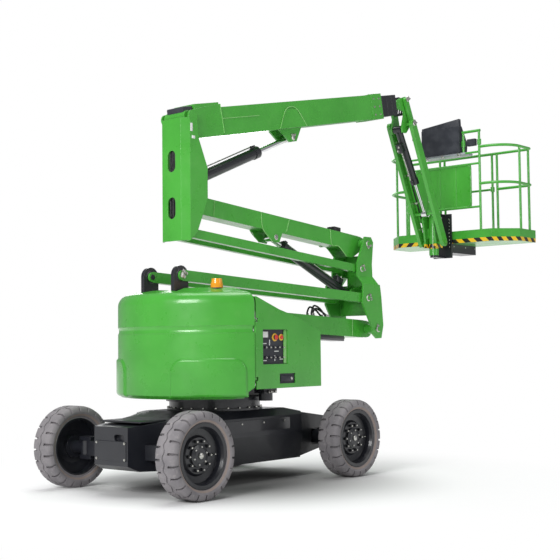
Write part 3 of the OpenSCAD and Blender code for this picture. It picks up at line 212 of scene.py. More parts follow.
class Finish:
    """A node material being wired up: Object coordinates in, one Principled shader out."""

    def __init__(self, name, roughness=0.5, metallic=0.0, coat=0.0, coat_roughness=0.1, specular=0.5):
        self.material = bpy.data.materials.new(name)
        self.material.use_nodes = True
        self.tree = self.material.node_tree
        self.shader = self.tree.nodes["Principled BSDF"]
        self.shader.inputs["Roughness"].default_value = roughness
        self.shader.inputs["Metallic"].default_value = metallic
        self.shader.inputs["Coat Weight"].default_value = coat
        self.shader.inputs["Coat Roughness"].default_value = coat_roughness
        self.shader.inputs["Specular IOR Level"].default_value = specular
        self.coords = self.add("ShaderNodeTexCoord").outputs["Object"]
        self.normal = None

    def add(self, kind, **settings):
        """New node with its settings."""
        node = self.tree.nodes.new(kind)
        for key, value in settings.items():
            setattr(node, key, value)
        return node

    def link(self, source, target):
        """Wire from an output to an input."""
        self.tree.links.new(source, target)

    def feed(self, socket, value):
        """Sets an input to a number or a colour, or wires an output to it."""
        if isinstance(value, tuple):
            socket.default_value = (*value, 1.0)
        elif isinstance(value, (int, float)):
            socket.default_value = value
        else:
            self.link(value, socket)

    def noise(self, scale, detail=4.0, roughness=0.55):
        """Fractal noise, blobs about 1/scale metres wide."""
        node = self.add("ShaderNodeTexNoise")
        node.inputs["Scale"].default_value = scale
        node.inputs["Detail"].default_value = detail
        node.inputs["Roughness"].default_value = roughness
        self.link(self.coords, node.inputs["Vector"])
        return node.outputs["Fac"]

    def span(self, value, low, high, to_low=0.0, to_high=1.0):
        """Smooth step of a value from one interval to another."""
        node = self.add("ShaderNodeMapRange", interpolation_type="SMOOTHSTEP")
        ends = {"From Min": low, "From Max": high, "To Min": to_low, "To Max": to_high}
        for socket, number in ends.items():
            node.inputs[socket].default_value = number
        self.link(value, node.inputs["Value"])
        return node.outputs["Result"]

    def blend(self, factor, first, second):
        """Colour between two colours or sockets, by a factor."""
        node = self.add("ShaderNodeMix", data_type="RGBA")
        self.link(factor, node.inputs["Factor"])
        self.feed(node.inputs["A"], first)
        self.feed(node.inputs["B"], second)
        return node.outputs["Result"]

    def math(self, operation, first, second=0.0):
        """One step of arithmetic on numbers or sockets."""
        node = self.add("ShaderNodeMath", operation=operation)
        self.feed(node.inputs[0], first)
        self.feed(node.inputs[1], second)
        return node.outputs[0]

    def axis(self, name):
        """One Object coordinate."""
        node = self.add("ShaderNodeSeparateXYZ")
        self.link(self.coords, node.inputs["Vector"])
        return node.outputs[name]

    def rounded_normal(self, radius):
        """Normal that leans over near an edge, within a radius in metres."""
        node = self.add("ShaderNodeBevel", samples=4)
        node.inputs["Radius"].default_value = radius
        return node.outputs["Normal"]

    def soften_edges(self, radius):
        """Rounds the look of sharp edges over a radius in metres."""
        self.normal = self.rounded_normal(radius)

    def edge_mask(self, radius):
        """1 on edges within a radius, 0 on open faces: how far the rounded normal leans."""
        dot = self.add("ShaderNodeVectorMath", operation="DOT_PRODUCT")
        self.link(self.rounded_normal(radius), dot.inputs[0])
        self.link(self.add("ShaderNodeNewGeometry").outputs["Normal"], dot.inputs[1])
        return self.span(dot.outputs["Value"], 0.995, 0.9)

    def bump(self, height, strength, distance):
        """Adds relief on top of the normal so far."""
        node = self.add("ShaderNodeBump")
        node.inputs["Strength"].default_value = strength
        node.inputs["Distance"].default_value = distance
        self.link(height, node.inputs["Height"])
        if self.normal is not None:
            self.link(self.normal, node.inputs["Normal"])
        self.normal = node.outputs["Normal"]

    def done(self, colour, roughness=None):
        """Wires colour, roughness and normal to the shader and gives the material."""
        self.feed(self.shader.inputs["Base Color"], colour)
        if roughness is not None:
            self.link(roughness, self.shader.inputs["Roughness"])
        if self.normal is not None:
            self.link(self.normal, self.shader.inputs["Normal"])
        return self.material


GREEN = (0.060, 0.375, 0.036)
GREEN_SHADE = (0.048, 0.325, 0.028)
GREEN_DUST = (0.15, 0.43, 0.09)
GREEN_WORN = (0.2805, 0.53025, 0.2358)
# Paler green for the weld beads, rail collars and the recess cheek: a painted highlight, standing in for the light
# these edges catch.
HIGHLIGHT_GREEN = (0.20, 0.52, 0.14)
HIGHLIGHT_GREEN_SHADE = (0.15, 0.46, 0.10)
HIGHLIGHT_GREEN_WORN = (0.34, 0.60, 0.26)
NIGHT = (0.010, 0.011, 0.016)
NIGHT_SHADE = (0.008, 0.009, 0.013)
NIGHT_WORN = (0.03, 0.031, 0.037)
STRIPE_YELLOW = (0.80, 0.50, 0.015)
STRIPE_WORN = (0.55, 0.40, 0.08)
STRIPE_BLACK = (0.012, 0.012, 0.013)
EDGE_RADIUS = 0.006


def sprayed(name, edge_radius):
    """Start of an enamel: clear coat, softened edges and fine orange peel."""
    f = Finish(name, coat=0.35, coat_roughness=0.12)
    f.soften_edges(edge_radius)
    f.bump(f.noise(420.0, 2.0), 0.035, 0.002)
    return f


def painted(name, colour, shade, dusty, worn, edge_radius, gloss):
    """Sprayed enamel: cloudy tone, dust in the hollows of the tone and paler worn edges."""
    f = sprayed(name, edge_radius)
    tone = f.blend(f.span(f.noise(2.3, 3.0), 0.35, 0.7), colour, shade)
    dust = f.math("MULTIPLY", f.span(f.noise(9.0, 6.0), 0.52, 0.8), 0.16)
    tone = f.blend(dust, tone, dusty)
    chips = f.span(f.noise(38.0, 5.0), 0.35, 0.7, 0.10, 0.55)
    tone = f.blend(f.math("MULTIPLY", f.edge_mask(edge_radius * 0.8), chips), tone, worn)
    return f.done(tone, f.span(f.noise(6.0, 4.0), 0.3, 0.8, gloss, gloss + 0.14))


def striped_paint(name, low, high, cycles):
    """Green enamel with a band of slanting black and yellow stripes between two heights, on upright faces."""
    f = sprayed(name, EDGE_RADIUS)
    paint = f.blend(f.span(f.noise(2.3, 3.0), 0.35, 0.7), GREEN, GREEN_SHADE)
    along = f.math("ADD", f.axis("X"), f.math("ABSOLUTE", f.axis("Y")))
    slant = f.math("FRACT", f.math("MULTIPLY", f.math("ADD", along, f.axis("Z")), cycles))
    scuffs = f.span(f.noise(45.0, 5.0), 0.55, 0.75, 0.0, 0.35)
    yellow = f.blend(scuffs, STRIPE_YELLOW, STRIPE_WORN)
    stripes = f.blend(f.span(slant, 0.49, 0.51), yellow, STRIPE_BLACK)
    face = f.add("ShaderNodeSeparateXYZ")
    f.link(f.add("ShaderNodeNewGeometry").outputs["Normal"], face.inputs["Vector"])
    upright = f.math("LESS_THAN", f.math("ABSOLUTE", face.outputs["Z"]), 0.5)
    above = f.math("GREATER_THAN", f.axis("Z"), low)
    below = f.math("LESS_THAN", f.axis("Z"), high)
    band = f.math("MULTIPLY", f.math("MULTIPLY", above, below), upright)
    return f.done(f.blend(band, paint, stripes), f.span(f.noise(6.0, 4.0), 0.3, 0.8, 0.26, 0.4))


def tyre_rubber():
    """Grey non-marking rubber: blotchy tone, pale scuffs, a fine grain and a warm ring above the bead."""
    f = Finish("tyre_rubber", specular=0.25)
    f.bump(f.noise(160.0, 5.0), 0.25, 0.002)
    f.bump(f.noise(700.0, 2.0), 0.10, 0.001)
    blotches = f.span(f.noise(5.0, 5.0), 0.35, 0.7)
    tone = f.blend(blotches, (0.25, 0.235, 0.245), (0.185, 0.175, 0.185))
    scuffs = f.math("MULTIPLY", f.span(f.noise(24.0, 6.0, 0.7), 0.56, 0.72), 0.45)
    tone = f.blend(scuffs, tone, (0.40, 0.375, 0.36))
    reach = f.add("ShaderNodeAttribute", attribute_name="reach").outputs["Fac"]
    ring = f.math("MULTIPLY", f.span(reach, 0.279, 0.283), f.span(reach, 0.301, 0.296))
    tone = f.blend(f.math("MULTIPLY", ring, 0.7), tone, (0.30, 0.235, 0.20))
    return f.done(tone, f.span(f.noise(30.0, 4.0), 0.3, 0.8, 0.72, 0.92))


def rod_chrome():
    """Hard chrome with a faint cloudy haze."""
    f = Finish("rod_chrome", metallic=1.0)
    f.bump(f.noise(300.0, 2.0), 0.02, 0.0005)
    tone = f.blend(f.noise(4.0, 3.0), (0.72, 0.73, 0.75), (0.82, 0.82, 0.83))
    return f.done(tone, f.span(f.noise(18.0, 4.0), 0.3, 0.8, 0.08, 0.2))


def moulded_plastic():
    """Dark moulded plastic with a pebbled grain."""
    f = Finish("moulded_plastic", specular=0.4)
    f.soften_edges(EDGE_RADIUS)
    f.bump(f.noise(520.0, 2.0), 0.22, 0.001)
    clouds = f.span(f.noise(7.0, 4.0), 0.35, 0.7)
    tone = f.blend(clouds, (0.018, 0.02, 0.028), (0.034, 0.037, 0.047))
    return f.done(tone, f.span(f.noise(14.0, 4.0), 0.3, 0.8, 0.42, 0.6))


def amber_lens():
    """Amber lens with a slightly wavy face and a cloudy depth."""
    f = Finish("amber_lens", roughness=0.12, coat=0.4, coat_roughness=0.05)
    f.bump(f.noise(90.0, 2.0), 0.2, 0.002)
    return f.done(f.blend(f.noise(30.0, 3.0), (0.92, 0.40, 0.015), (0.80, 0.27, 0.01)))


def zinc_plate():
    """Zinc-plated steel: pale grey with a cloudy passivated tint."""
    f = Finish("zinc_plate", metallic=1.0)
    f.bump(f.noise(240.0, 3.0), 0.08, 0.0006)
    tone = f.blend(f.span(f.noise(34.0, 4.0), 0.35, 0.7), (0.62, 0.61, 0.56), (0.44, 0.44, 0.43))
    return f.done(tone, f.span(f.noise(60.0, 3.0), 0.3, 0.8, 0.22, 0.42))


def hose_rubber():
    """Black hose cover: fine grain in the bump and a dusty tone."""
    f = Finish("hose_rubber", specular=0.35)
    f.bump(f.noise(900.0, 2.0), 0.3, 0.0006)
    tone = f.blend(f.span(f.noise(20.0, 4.0), 0.4, 0.75), (0.012, 0.012, 0.014), (0.03, 0.03, 0.032))
    return f.done(tone, f.span(f.noise(25.0, 4.0), 0.3, 0.8, 0.38, 0.6))


def enamel(name, colour, worn):
    """Plain enamel of one colour with scuffs, for plates, buttons and trays."""
    f = Finish(name, coat=0.2)
    f.soften_edges(0.002)
    f.bump(f.noise(600.0, 2.0), 0.05, 0.0005)
    tone = f.blend(f.span(f.noise(28.0, 6.0), 0.5, 0.75), colour, worn)
    return f.done(tone, f.span(f.noise(40.0, 4.0), 0.3, 0.8, 0.3, 0.5))


green_paint = painted("green_paint", GREEN, GREEN_SHADE, GREEN_DUST, GREEN_WORN, EDGE_RADIUS, 0.26)
black_paint = painted("black_paint", NIGHT, NIGHT_SHADE, NIGHT_WORN, NIGHT_WORN, EDGE_RADIUS, 0.34)
# Paler green enamel: a painted highlight on weld beads, rail collars and the recess cheek.
highlight_green = painted("highlight_green", HIGHLIGHT_GREEN, HIGHLIGHT_GREEN_SHADE, HIGHLIGHT_GREEN_WORN, HIGHLIGHT_GREEN_WORN, 0.002, 0.22)
rubber = tyre_rubber()
plastic = moulded_plastic()
zinc = zinc_plate()
hose_black = hose_rubber()
label_white = enamel("label_white", (0.72, 0.73, 0.72), (0.55, 0.55, 0.54))
stop_red = enamel("stop_red", (0.62, 0.025, 0.018), (0.42, 0.02, 0.016))
stop_yellow = enamel("stop_yellow", (0.80, 0.46, 0.02), (0.62, 0.36, 0.03))
tray_grey = enamel("tray_grey", (0.36, 0.38, 0.42), (0.26, 0.28, 0.31))
finish_of_slot = {
    "green_paint": green_paint,
    "black_paint": black_paint,
    "tyre": rubber,
    "rod_chrome": rod_chrome(),
    "black_plastic": plastic,
    "amber": amber_lens(),
}
TOE_LOW = joints["jib_end_level"]["pos_m"][2]
finish_of_node = {
    "platform_floor": striped_paint("striped_toe_board", TOE_LOW - 0.01, TOE_LOW + 0.0495, 6.0),
    "jib_end": striped_paint("striped_jib_foot", TOE_LOW - 0.07, TOE_LOW - 0.012, 9.0),
}


def paint_solids():
    """Every solid takes the finish of its material slot, or its own where it is striped."""
    for part in frame["record"]["subparts"]:
        mesh = nodes[part["node"]].data
        mesh.materials.clear()
        mesh.materials.append(finish_of_node.get(part["node"], finish_of_slot[part["material_slot"]]))


paint_solids()


# Surfaces: every solid is a grid of rings, in millimetres of the machine's layout, closed at both ends

def signed_volume(points, quads):
    """Six times the volume between quads and the origin, below zero where the quads face inward."""
    a, b, c, d = (points[quads[:, k]] for k in range(4))
    return np.einsum("ij,ij->", a, np.cross(b, c)) + np.einsum("ij,ij->", a, np.cross(c, d))


def mesh_object(name, points, faces, finish, sharp):
    """Mesh from millimetres of the layout to the row frame, smooth except at edges sharper than an angle."""
    mesh = bpy.data.meshes.new(name)
    mesh.from_pydata((points / MM + np.array([SWING_X, 0.0, 0.0])).tolist(), [], faces)
    mesh.polygons.foreach_set("use_smooth", np.ones(len(mesh.polygons), dtype=bool))
    mesh.set_sharp_from_angle(angle=math.radians(sharp))
    mesh.materials.append(finish)
    piece = bpy.data.objects.new(name, mesh)
    bpy.context.scene.collection.objects.link(piece)
    return piece


class Piece:
    """One mesh of closed swept solids that rides on a body."""

    def __init__(self, name, body, finish, slot=None, sharp=38.0):
        self.name, self.body, self.finish, self.slot, self.sharp = name, body, finish, slot, sharp
        self.points, self.faces, self.count = [], [], 0

    def add(self, *grids):
        """Adds one closed solid for each grid of rings."""
        for grid in grids:
            self.add_rings(grid)
        return self

    def add_rings(self, grid):
        """Quads between neighbouring rings grid[i, j] and a cap on the first and the last ring."""
        rows, cols = grid.shape[:2]
        index = np.arange(rows * cols).reshape(rows, cols)
        ahead = np.roll(index, -1, axis=1)
        quads = np.stack([index[:-1], ahead[:-1], ahead[1:], index[1:]], axis=-1).reshape(-1, 4)
        flat = grid.reshape(-1, 3)
        centre = flat.mean(axis=0)
        inside = signed_volume(flat - centre, quads)
        for ring, sign in ((grid[0], -1.0), (grid[-1], 1.0)):
            fan = ring - centre
            hub = np.broadcast_to(fan.mean(axis=0), fan.shape)
            inside += sign * np.einsum("ij,ij->", hub, np.cross(fan, np.roll(fan, -1, axis=0)))
        first, last = index[0][::-1], index[-1]
        if inside < 0.0:
            quads, first, last = quads[:, ::-1], first[::-1], last[::-1]
        self.faces += (quads + self.count).tolist()
        self.faces += [(cap + self.count).tolist() for cap in (first, last)]
        self.points.append(flat)
        self.count += rows * cols

    def build(self):
        """Makes the mesh and sets it on its body."""
        piece = mesh_object(self.name, np.concatenate(self.points), self.faces, self.finish, self.sharp)
        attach(piece, self.body)


# For each axis: its own direction, then the two directions that span its circles
AXES = {
    "x": np.array([[1.0, 0.0, 0.0], [0.0, 1.0, 0.0], [0.0, 0.0, 1.0]]),
    "y": np.array([[0.0, 1.0, 0.0], [0.0, 0.0, 1.0], [1.0, 0.0, 0.0]]),
    "z": np.array([[0.0, 0.0, 1.0], [1.0, 0.0, 0.0], [0.0, 1.0, 0.0]]),
}
SIDES = (1.0, -1.0)


def lathe(at, axis, profile, turns=20, out=1.0):
    """Rings about an axis through a point: each (along, radius) pair of the profile is one circle."""
    base = AXES[axis]
    angle = (np.arange(turns) + 0.5) * 2.0 * math.pi / turns
    along, radius = np.array(profile, dtype=float).T
    circle = np.cos(angle)[:, None] * base[1] + np.sin(angle)[:, None] * base[2]
    return np.array(at, dtype=float) + (along * out)[:, None, None] * base[0] + radius[:, None, None] * circle


def rounded_rectangle(half_u, half_v, radius, steps=3):
    """Closed outline of a rectangle with quarter-circle corners."""
    radius = min(radius, half_u, half_v)
    turn = np.linspace(0.0, math.pi / 2, steps)
    corners = []
    for a, b, start in ((1, 1, 0.0), (-1, 1, 0.5), (-1, -1, 1.0), (1, -1, 1.5)):
        u = a * (half_u - radius) + radius * np.cos(turn + start * math.pi)
        v = b * (half_v - radius) + radius * np.sin(turn + start * math.pi)
        corners.append(np.stack([u, v], axis=1))
    return np.concatenate(corners)


def box(lo, hi, radius=4.0):
    """Box along X whose section is a rounded rectangle and whose ends are chamfered by the same radius."""
    lo, hi = np.array(lo, dtype=float), np.array(hi, dtype=float)
    half, middle = (hi - lo) / 2.0, (hi + lo) / 2.0
    radius = min(radius, 0.49 * (hi - lo).min())
    outline = rounded_rectangle(half[1], half[2], radius)
    rings = []
    for x, inset in ((lo[0], radius), (lo[0] + radius, 0.0), (hi[0] - radius, 0.0), (hi[0], radius)):
        section = middle[1:] + outline * (1.0 - inset * 0.7 / half[1:])
        rings.append(np.column_stack([np.full(len(outline), x), section]))
    return np.stack(rings)


def plate(outline, y0, y1, bevel=1.5):
    """Plate with an outline in X and Z between two Y planes, its edges bevelled towards the middle."""
    outline = np.array(outline, dtype=float)
    towards = outline.mean(axis=0) - outline
    inner = outline + towards / np.linalg.norm(towards, axis=1, keepdims=True) * bevel
    low, high = min(y0, y1), max(y0, y1)
    rings = [(inner, low), (outline, low + bevel * 0.6), (outline, high - bevel * 0.6), (inner, high)]
    return np.stack([np.column_stack([ring[:, 0], np.full(len(ring), y), ring[:, 1]]) for ring, y in rings])


def plate_x(outline, x0, x1, bevel=1.5):
    """Plate with an outline in Y and Z between two X planes."""
    return plate(outline, x0, x1, bevel)[..., [1, 0, 2]]


def smooth_path(path, per_span):
    """Catmull-Rom curve through points: a cubic in t on each span, from the span's four neighbours."""
    ends = np.vstack([2 * path[0] - path[1], path, 2 * path[-1] - path[-2]])
    t = np.linspace(0.0, 1.0, per_span, endpoint=False)[:, None]
    p0, p1, p2, p3 = ends[:-3, None], ends[1:-2, None], ends[2:-1, None], ends[3:, None]
    square = 2 * p0 - 5 * p1 + 4 * p2 - p3
    cube = 3 * p1 - p0 - 3 * p2 + p3
    curve = 0.5 * (2 * p1 + (p2 - p0) * t + square * t ** 2 + cube * t ** 3)
    return np.vstack([curve.reshape(-1, 3), path[-1:]])


def tube(path, radius, turns=10, per_span=8, across=(0.0, 1.0, 0.0)):
    """Round tube along a smooth curve through the path's points; rings stand square to the curve."""
    path = np.array(path, dtype=float)
    if len(path) > 2:
        path = smooth_path(path, per_span)
    way = np.gradient(path, axis=0)
    way /= np.linalg.norm(way, axis=1, keepdims=True)
    side = np.cross(way, np.array(across))
    side /= np.linalg.norm(side, axis=1, keepdims=True)
    up = np.cross(side, way)
    angle = (np.arange(turns) * 2.0 * math.pi / turns)[None, :, None]
    return path[:, None] + radius * (np.cos(angle) * side[:, None] + np.sin(angle) * up[:, None])


def aimed(grid, origin, degrees):
    """Moves a grid drawn along +X to a start in X and Z, along an angle above the horizontal."""
    c, s = math.cos(math.radians(degrees)), math.sin(math.radians(degrees))
    x, y, z = grid[..., 0], grid[..., 1], grid[..., 2]
    return np.stack([origin[0] + x * c - z * s, y, origin[1] + x * s + z * c], axis=-1)


def flipped(grid):
    """The same solid on the other side of the machine's middle plane."""
    return grid * np.array([1.0, -1.0, 1.0])


def weld(piece, arm, points, face, radius, per_span=8):
    """Bead along points (along, above) of an arm, on both of its sides."""
    bead = arm(tube([(along, face, above) for along, above in points], radius, 8, per_span))
    piece.add(bead, flipped(bead))


def hex_bolt(at, axis, out, size, height):
    """Washer and hexagonal head standing out from a face, its foot sunk a little into the face."""
    washer = [(-2.0, size * 0.72), (2.5, size * 0.72), (2.6, size * 0.6)]
    head = [(2.0, size * 0.55), (height * 0.85, size * 0.55), (height, size * 0.45)]
    return lathe(at, axis, washer, 14, out), lathe(at, axis, head, 6, out)


# Pins of the machine in its layout, [x, z] in millimetres, from the joints

def pin_of(joint):
    """Place of a joint's pin in the machine's layout."""
    x, _, z = joints[joint]["pos_m"]
    return np.array([(x - SWING_X) * MM, z * MM])


def point_on(arm, along, above):
    """Place in X and Z of a point given along and above an arm."""
    return arm(np.array([[along, 0.0, above]]))[0][[0, 2]]


ARM_PIN, EAR_PIN = pin_of("riser_lift"), pin_of("lower_links_turn")
KNUCKLE_ARM, KNUCKLE_TOP = pin_of("knuckle_level"), pin_of("upper_arm_turn")
KNUCKLE_UPPER_LINK = pin_of("upper_links_turn")
KNUCKLE_LINK = EAR_PIN + KNUCKLE_ARM - ARM_PIN
BOOM_PIN = pin_of("boom_lift")
JIB_ARM_PIN, JIB_TOP_PIN = pin_of("jib_lift"), pin_of("jib_links_turn")
JIB_END_ARM = pin_of("jib_end_level")
JIB_END_TOP = JIB_TOP_PIN + JIB_END_ARM - JIB_ARM_PIN

# Arms: start and angle above the horizontal, in degrees; the upper arm runs back from the knuckle
BOOM_ANGLE = 12.0
BOOM_DROP = 70.0
BOOM_DOWN = np.array([math.sin(math.radians(BOOM_ANGLE)), -math.cos(math.radians(BOOM_ANGLE))])
along_lower = partial(aimed, origin=ARM_PIN, degrees=-2.8)
along_upper = partial(aimed, origin=KNUCKLE_TOP, degrees=180.0 - 4.8)
along_boom = partial(aimed, origin=BOOM_PIN + BOOM_DROP * BOOM_DOWN, degrees=BOOM_ANGLE)
along_jib = partial(aimed, origin=JIB_ARM_PIN, degrees=-65.0)
RISER_EYE = point_on(along_upper, 1430.0, 136.0)
LIFT_EYE = point_on(along_boom, 1540.0, -234.0)
JIB_EYE = point_on(along_jib, 1120.0, 0.0)

# Platform: its floor, the support's face, the rails and the rear panel
DECK_REAR = float(JIB_END_ARM[0]) + 24.4 + 220.0
DECK_Z = float(JIB_END_ARM[1])
SUPPORT_X = DECK_REAR - 28.0
RAIL_X0, RAIL_X1, RAIL_Y = DECK_REAR + 23.0, DECK_REAR + 623.0, 897.0
MID_Z, RAIL_Z = DECK_Z + 710.0, DECK_Z + 1160.0
PANEL_LOW, PANEL_HIGH = DECK_Z + 430.0, DECK_Z + 960.0


# Wheels
AXLE_X = 1060.0
WHEEL_Y = 797.0
RIM_HALF = 87.5
TYRE_RADIUS = 370.0
BEAD_RADIUS = 260.0
BLOCKS = 22
NOTCH_DEPTH = 22.0
GROOVE_DEPTH = 9.0
ZIGZAG = 14.0
# Phases of one block pitch at which the tread is cut into rings
PITCH = np.array([0.0, 0.03, 0.16, 0.19, 0.34, 0.5, 0.53, 0.66, 0.69, 0.84])
# Half of the section, bead to crown: width, radius, shares of the shoulder notch, crown groove and zigzag
HALF_SECTION = np.array([
    (RIM_HALF, BEAD_RADIUS, 0, 0, 0), (RIM_HALF, 277.0, 0, 0, 0), (100.0, 281.0, 0, 0, 0),
    (104.0, 290.0, 0, 0, 0), (105.0, 291.5, 0, 0, 0), (112.0, 300.0, 0, 0, 0),
    (116.0, 314.0, 0, 0, 0), (117.0, 318.0, 0, 0, 0), (117.0, 320.0, 1, 0, 0),
    (115.0, 340.0, 1, 0, 0), (108.0, 356.0, 1, 0, 0), (97.0, 365.0, 1, 0, 0),
    (82.0, 369.4, 1, 0, 0), (60.0, TYRE_RADIUS, 1, 0, 0.1), (44.0, TYRE_RADIUS, 1, 0, 0.3),
    (42.0, TYRE_RADIUS, 0, 0, 0.3), (9.0, TYRE_RADIUS, 0, 0, 1), (7.0, TYRE_RADIUS, 0, 1, 1),
])
BORE = np.array([[-40.0, BEAD_RADIUS, 0, 0, 0], [40.0, BEAD_RADIUS, 0, 0, 0]])


def notched(phase, start):
    """1 in the notch that begins at a phase of the block pitch, else 0."""
    return ((phase > start + 0.02) & (phase < start + 0.17)).astype(float)[:, None]


def tyre_grid(centre):
    """Tyre as a function of the turn and of the place round its section: the section's radius is lowered in
    the notches between shoulder blocks, staggered left to right, and in a groove that zigzags on the crown."""
    part = (np.arange(BLOCKS)[:, None] + PITCH[None, :]).ravel()
    angle = (part * 2.0 * math.pi / BLOCKS)[:, None]
    phase = np.tile(PITCH, BLOCKS)
    zigzag = ZIGZAG * (np.abs(((part + 0.08) % 1.0) * 2.0 - 1.0) * 2.0 - 1.0)
    section = np.vstack([HALF_SECTION, HALF_SECTION[::-1] * np.array([-1, 1, 1, 1, 1]), BORE])
    across, round_radius, notch, groove, sway = section.T
    left = np.where(across >= 0.0, 1.0, 0.0)
    shoulder = left * notched(phase, 0.0) + (1.0 - left) * notched(phase, 0.5)
    cut = NOTCH_DEPTH * notch * shoulder + GROOVE_DEPTH * groove
    radius = round_radius - cut
    width = across + sway * zigzag[:, None] - notch * cut * 0.25 * np.sign(across)
    points = np.stack([radius * np.cos(angle), width, radius * np.sin(angle)], axis=-1)
    return points + centre, np.broadcast_to(round_radius, radius.shape)


def make_tyre(wheel, centre):
    """One tyre with block tread for the plain solid; an attribute holds the distance from the axle."""
    grid, reach = tyre_grid(centre)
    rows, cols = grid.shape[:2]
    index = np.arange(rows * cols).reshape(rows, cols)
    ahead, beside = np.roll(index, -1, axis=0), np.roll(index, -1, axis=1)
    quads = np.stack([index, ahead, np.roll(ahead, -1, axis=1), beside], axis=-1).reshape(-1, 4)
    flat = grid.reshape(-1, 3)
    if signed_volume(flat - centre, quads) < 0.0:
        quads = quads[:, ::-1]
    tyre = mesh_object(f"block_tyre_{wheel}", flat, quads.tolist(), rubber, 30.0)
    values = (reach.ravel() / MM).astype(np.float32)
    tyre.data.attributes.new("reach", "FLOAT", "POINT").data.foreach_set("value", values)
    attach(tyre, f"wheel_{wheel}")
    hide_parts(f"tyre_{wheel}")


def make_wheel_details(wheel, centre, out):
    """Studs in the ring of nuts, hub bolts, a hub cap and a valve stem on the outside of one rim."""
    piece = Piece(f"rim_studs_{wheel}", f"wheel_{wheel}", zinc)
    face = centre + np.array([0.0, out * RIM_HALF, 0.0])
    stud, hub_bolt = [(-36, 8.5), (-24, 8.5), (-22, 6.5)], [(-44, 9.0), (-26, 9.0), (-24, 7.0)]
    for ring, first, pitch, profile, turns in ((124.0, 0, 36, stud, 8), (74.0, 18, 60, hub_bolt, 6)):
        for turn in np.radians(np.arange(first, first + 360, pitch)):
            spoke = np.array([ring * math.cos(turn), 0.0, ring * math.sin(turn)])
            piece.add(lathe(face + spoke, "y", profile, turns, out))
    piece.add(lathe(face, "y", [(-40, 26.0), (-18, 26.0), (-14, 20.0)], 20, out))
    valve = face + np.array([190.0, 0.0, 0.0])
    piece.add(lathe(valve, "y", [(-74, 7.0), (-40, 7.0), (-36, 4.0)], 8, out))
    piece.build()


def make_wheels():
    """Tyre and rim details of the four wheels."""
    for end, x in (("steer", -AXLE_X), ("drive", AXLE_X)):
        for side, out in (("left", 1.0), ("right", -1.0)):
            centre = np.array([x, WHEEL_Y * out, TYRE_RADIUS])
            make_tyre(f"{end}_{side}", centre)
            make_wheel_details(f"{end}_{side}", centre, out)


make_wheels()


# Pins: heads with a keeper plate and its two bolts

def pin_head(piece, pin, face, out, radius, keeper):
    """Chamfered round head on a pin's end, with a keeper bar across its edge held by two bolts."""
    head = [(-6.0, radius * 0.8), (0.0, radius), (5.0, radius), (9.0, radius * 0.82), (9.5, 4.0)]
    piece.add(lathe((pin[0], face, pin[1]), "y", head, 24, out))
    c, s = math.cos(math.radians(keeper)), math.sin(math.radians(keeper))
    outward, along = np.array([c, s]), np.array([s, -c])
    middle = pin + outward * radius * 0.95
    half_length, half_width = 1.05 * radius, 11.0
    corners = ((-1, 1), (1, 1), (1, -1), (-1, -1))
    bar = [middle + a * half_length * along + b * half_width * outward for a, b in corners]
    piece.add(plate(bar, face - 1.0 * out, face + 13.0 * out))
    for end in (-0.64, 0.64):
        x, z = middle + end * half_length * along
        piece.add(lathe((x, face + 12.0 * out, z), "y", [(-2.0, 10.0), (8.0, 10.0), (10.0, 8.0)], 6, out))


def make_pins():
    """Pin heads of the knuckle, ears and jib on both sides: pin, face, radius and keeper's angle."""
    knuckle = [
        (KNUCKLE_ARM, 264.0, 36.0, 150.0), (KNUCKLE_LINK, 264.0, 36.0, 20.0),
        (KNUCKLE_UPPER_LINK, 182.0, 34.0, 20.0), (KNUCKLE_TOP, 182.0, 36.0, -60.0),
    ]
    bracket = [(JIB_TOP_PIN, 136.0, 26.0, 60.0), (JIB_ARM_PIN, 180.0, 28.0, 60.0)]
    sets = [
        ("knuckle_pin_heads", "knuckle", knuckle),
        ("ear_pin_heads", "turntable", [(EAR_PIN, 240.0, 34.0, 60.0)]),
        ("jib_bracket_pin_heads", "jib_bracket", bracket),
        ("jib_end_pin_heads", "jib_end", [(JIB_END_TOP, 136.0, 26.0, 60.0)]),
    ]
    for name, body, pins in sets:
        piece = Piece(name, body, zinc)
        for pin, face, radius, keeper in pins:
            for out in SIDES:
                pin_head(piece, pin, face * out, out, radius, keeper)
        piece.build()


make_pins()


# Riser

def make_upper_arm_details():
    """Weld beads round the doublers, rubber of the boom's rest and the flat pin at the rod's eye."""
    top, low = -80.0, 80.0
    # The beads take the paler green: a painted highlight along the doublers' edges.
    welds = Piece("upper_arm_welds", "riser_upper_arm", highlight_green, "green_paint")
    for points in (
        [(1240, top), (1280, low - 20)],
        [(1680, top), (1640, low), (1490, 186)],
        [(560, top), (520, low), (400, low), (250, low + 90)],
        [(2349, top), (2349, low)],
    ):
        weld(welds, along_upper, points, 88.0, 5.0, 10)
    welds.build()
    rest = Piece("boom_rest_rubber", "riser_upper_arm", hose_black)
    rest.add(along_upper(box((326, -54, -137), (444, 54, -84), 8))).build()
    pin = Piece("riser_rod_pin", "riser_upper_arm", zinc)
    for out in SIDES:
        at = (RISER_EYE[0], 86.0 * out, RISER_EYE[1])
        pin.add(lathe(at, "y", [(0, 28), (2, 28), (3, 25), (3.1, 3)], 24, out))
    pin.build()


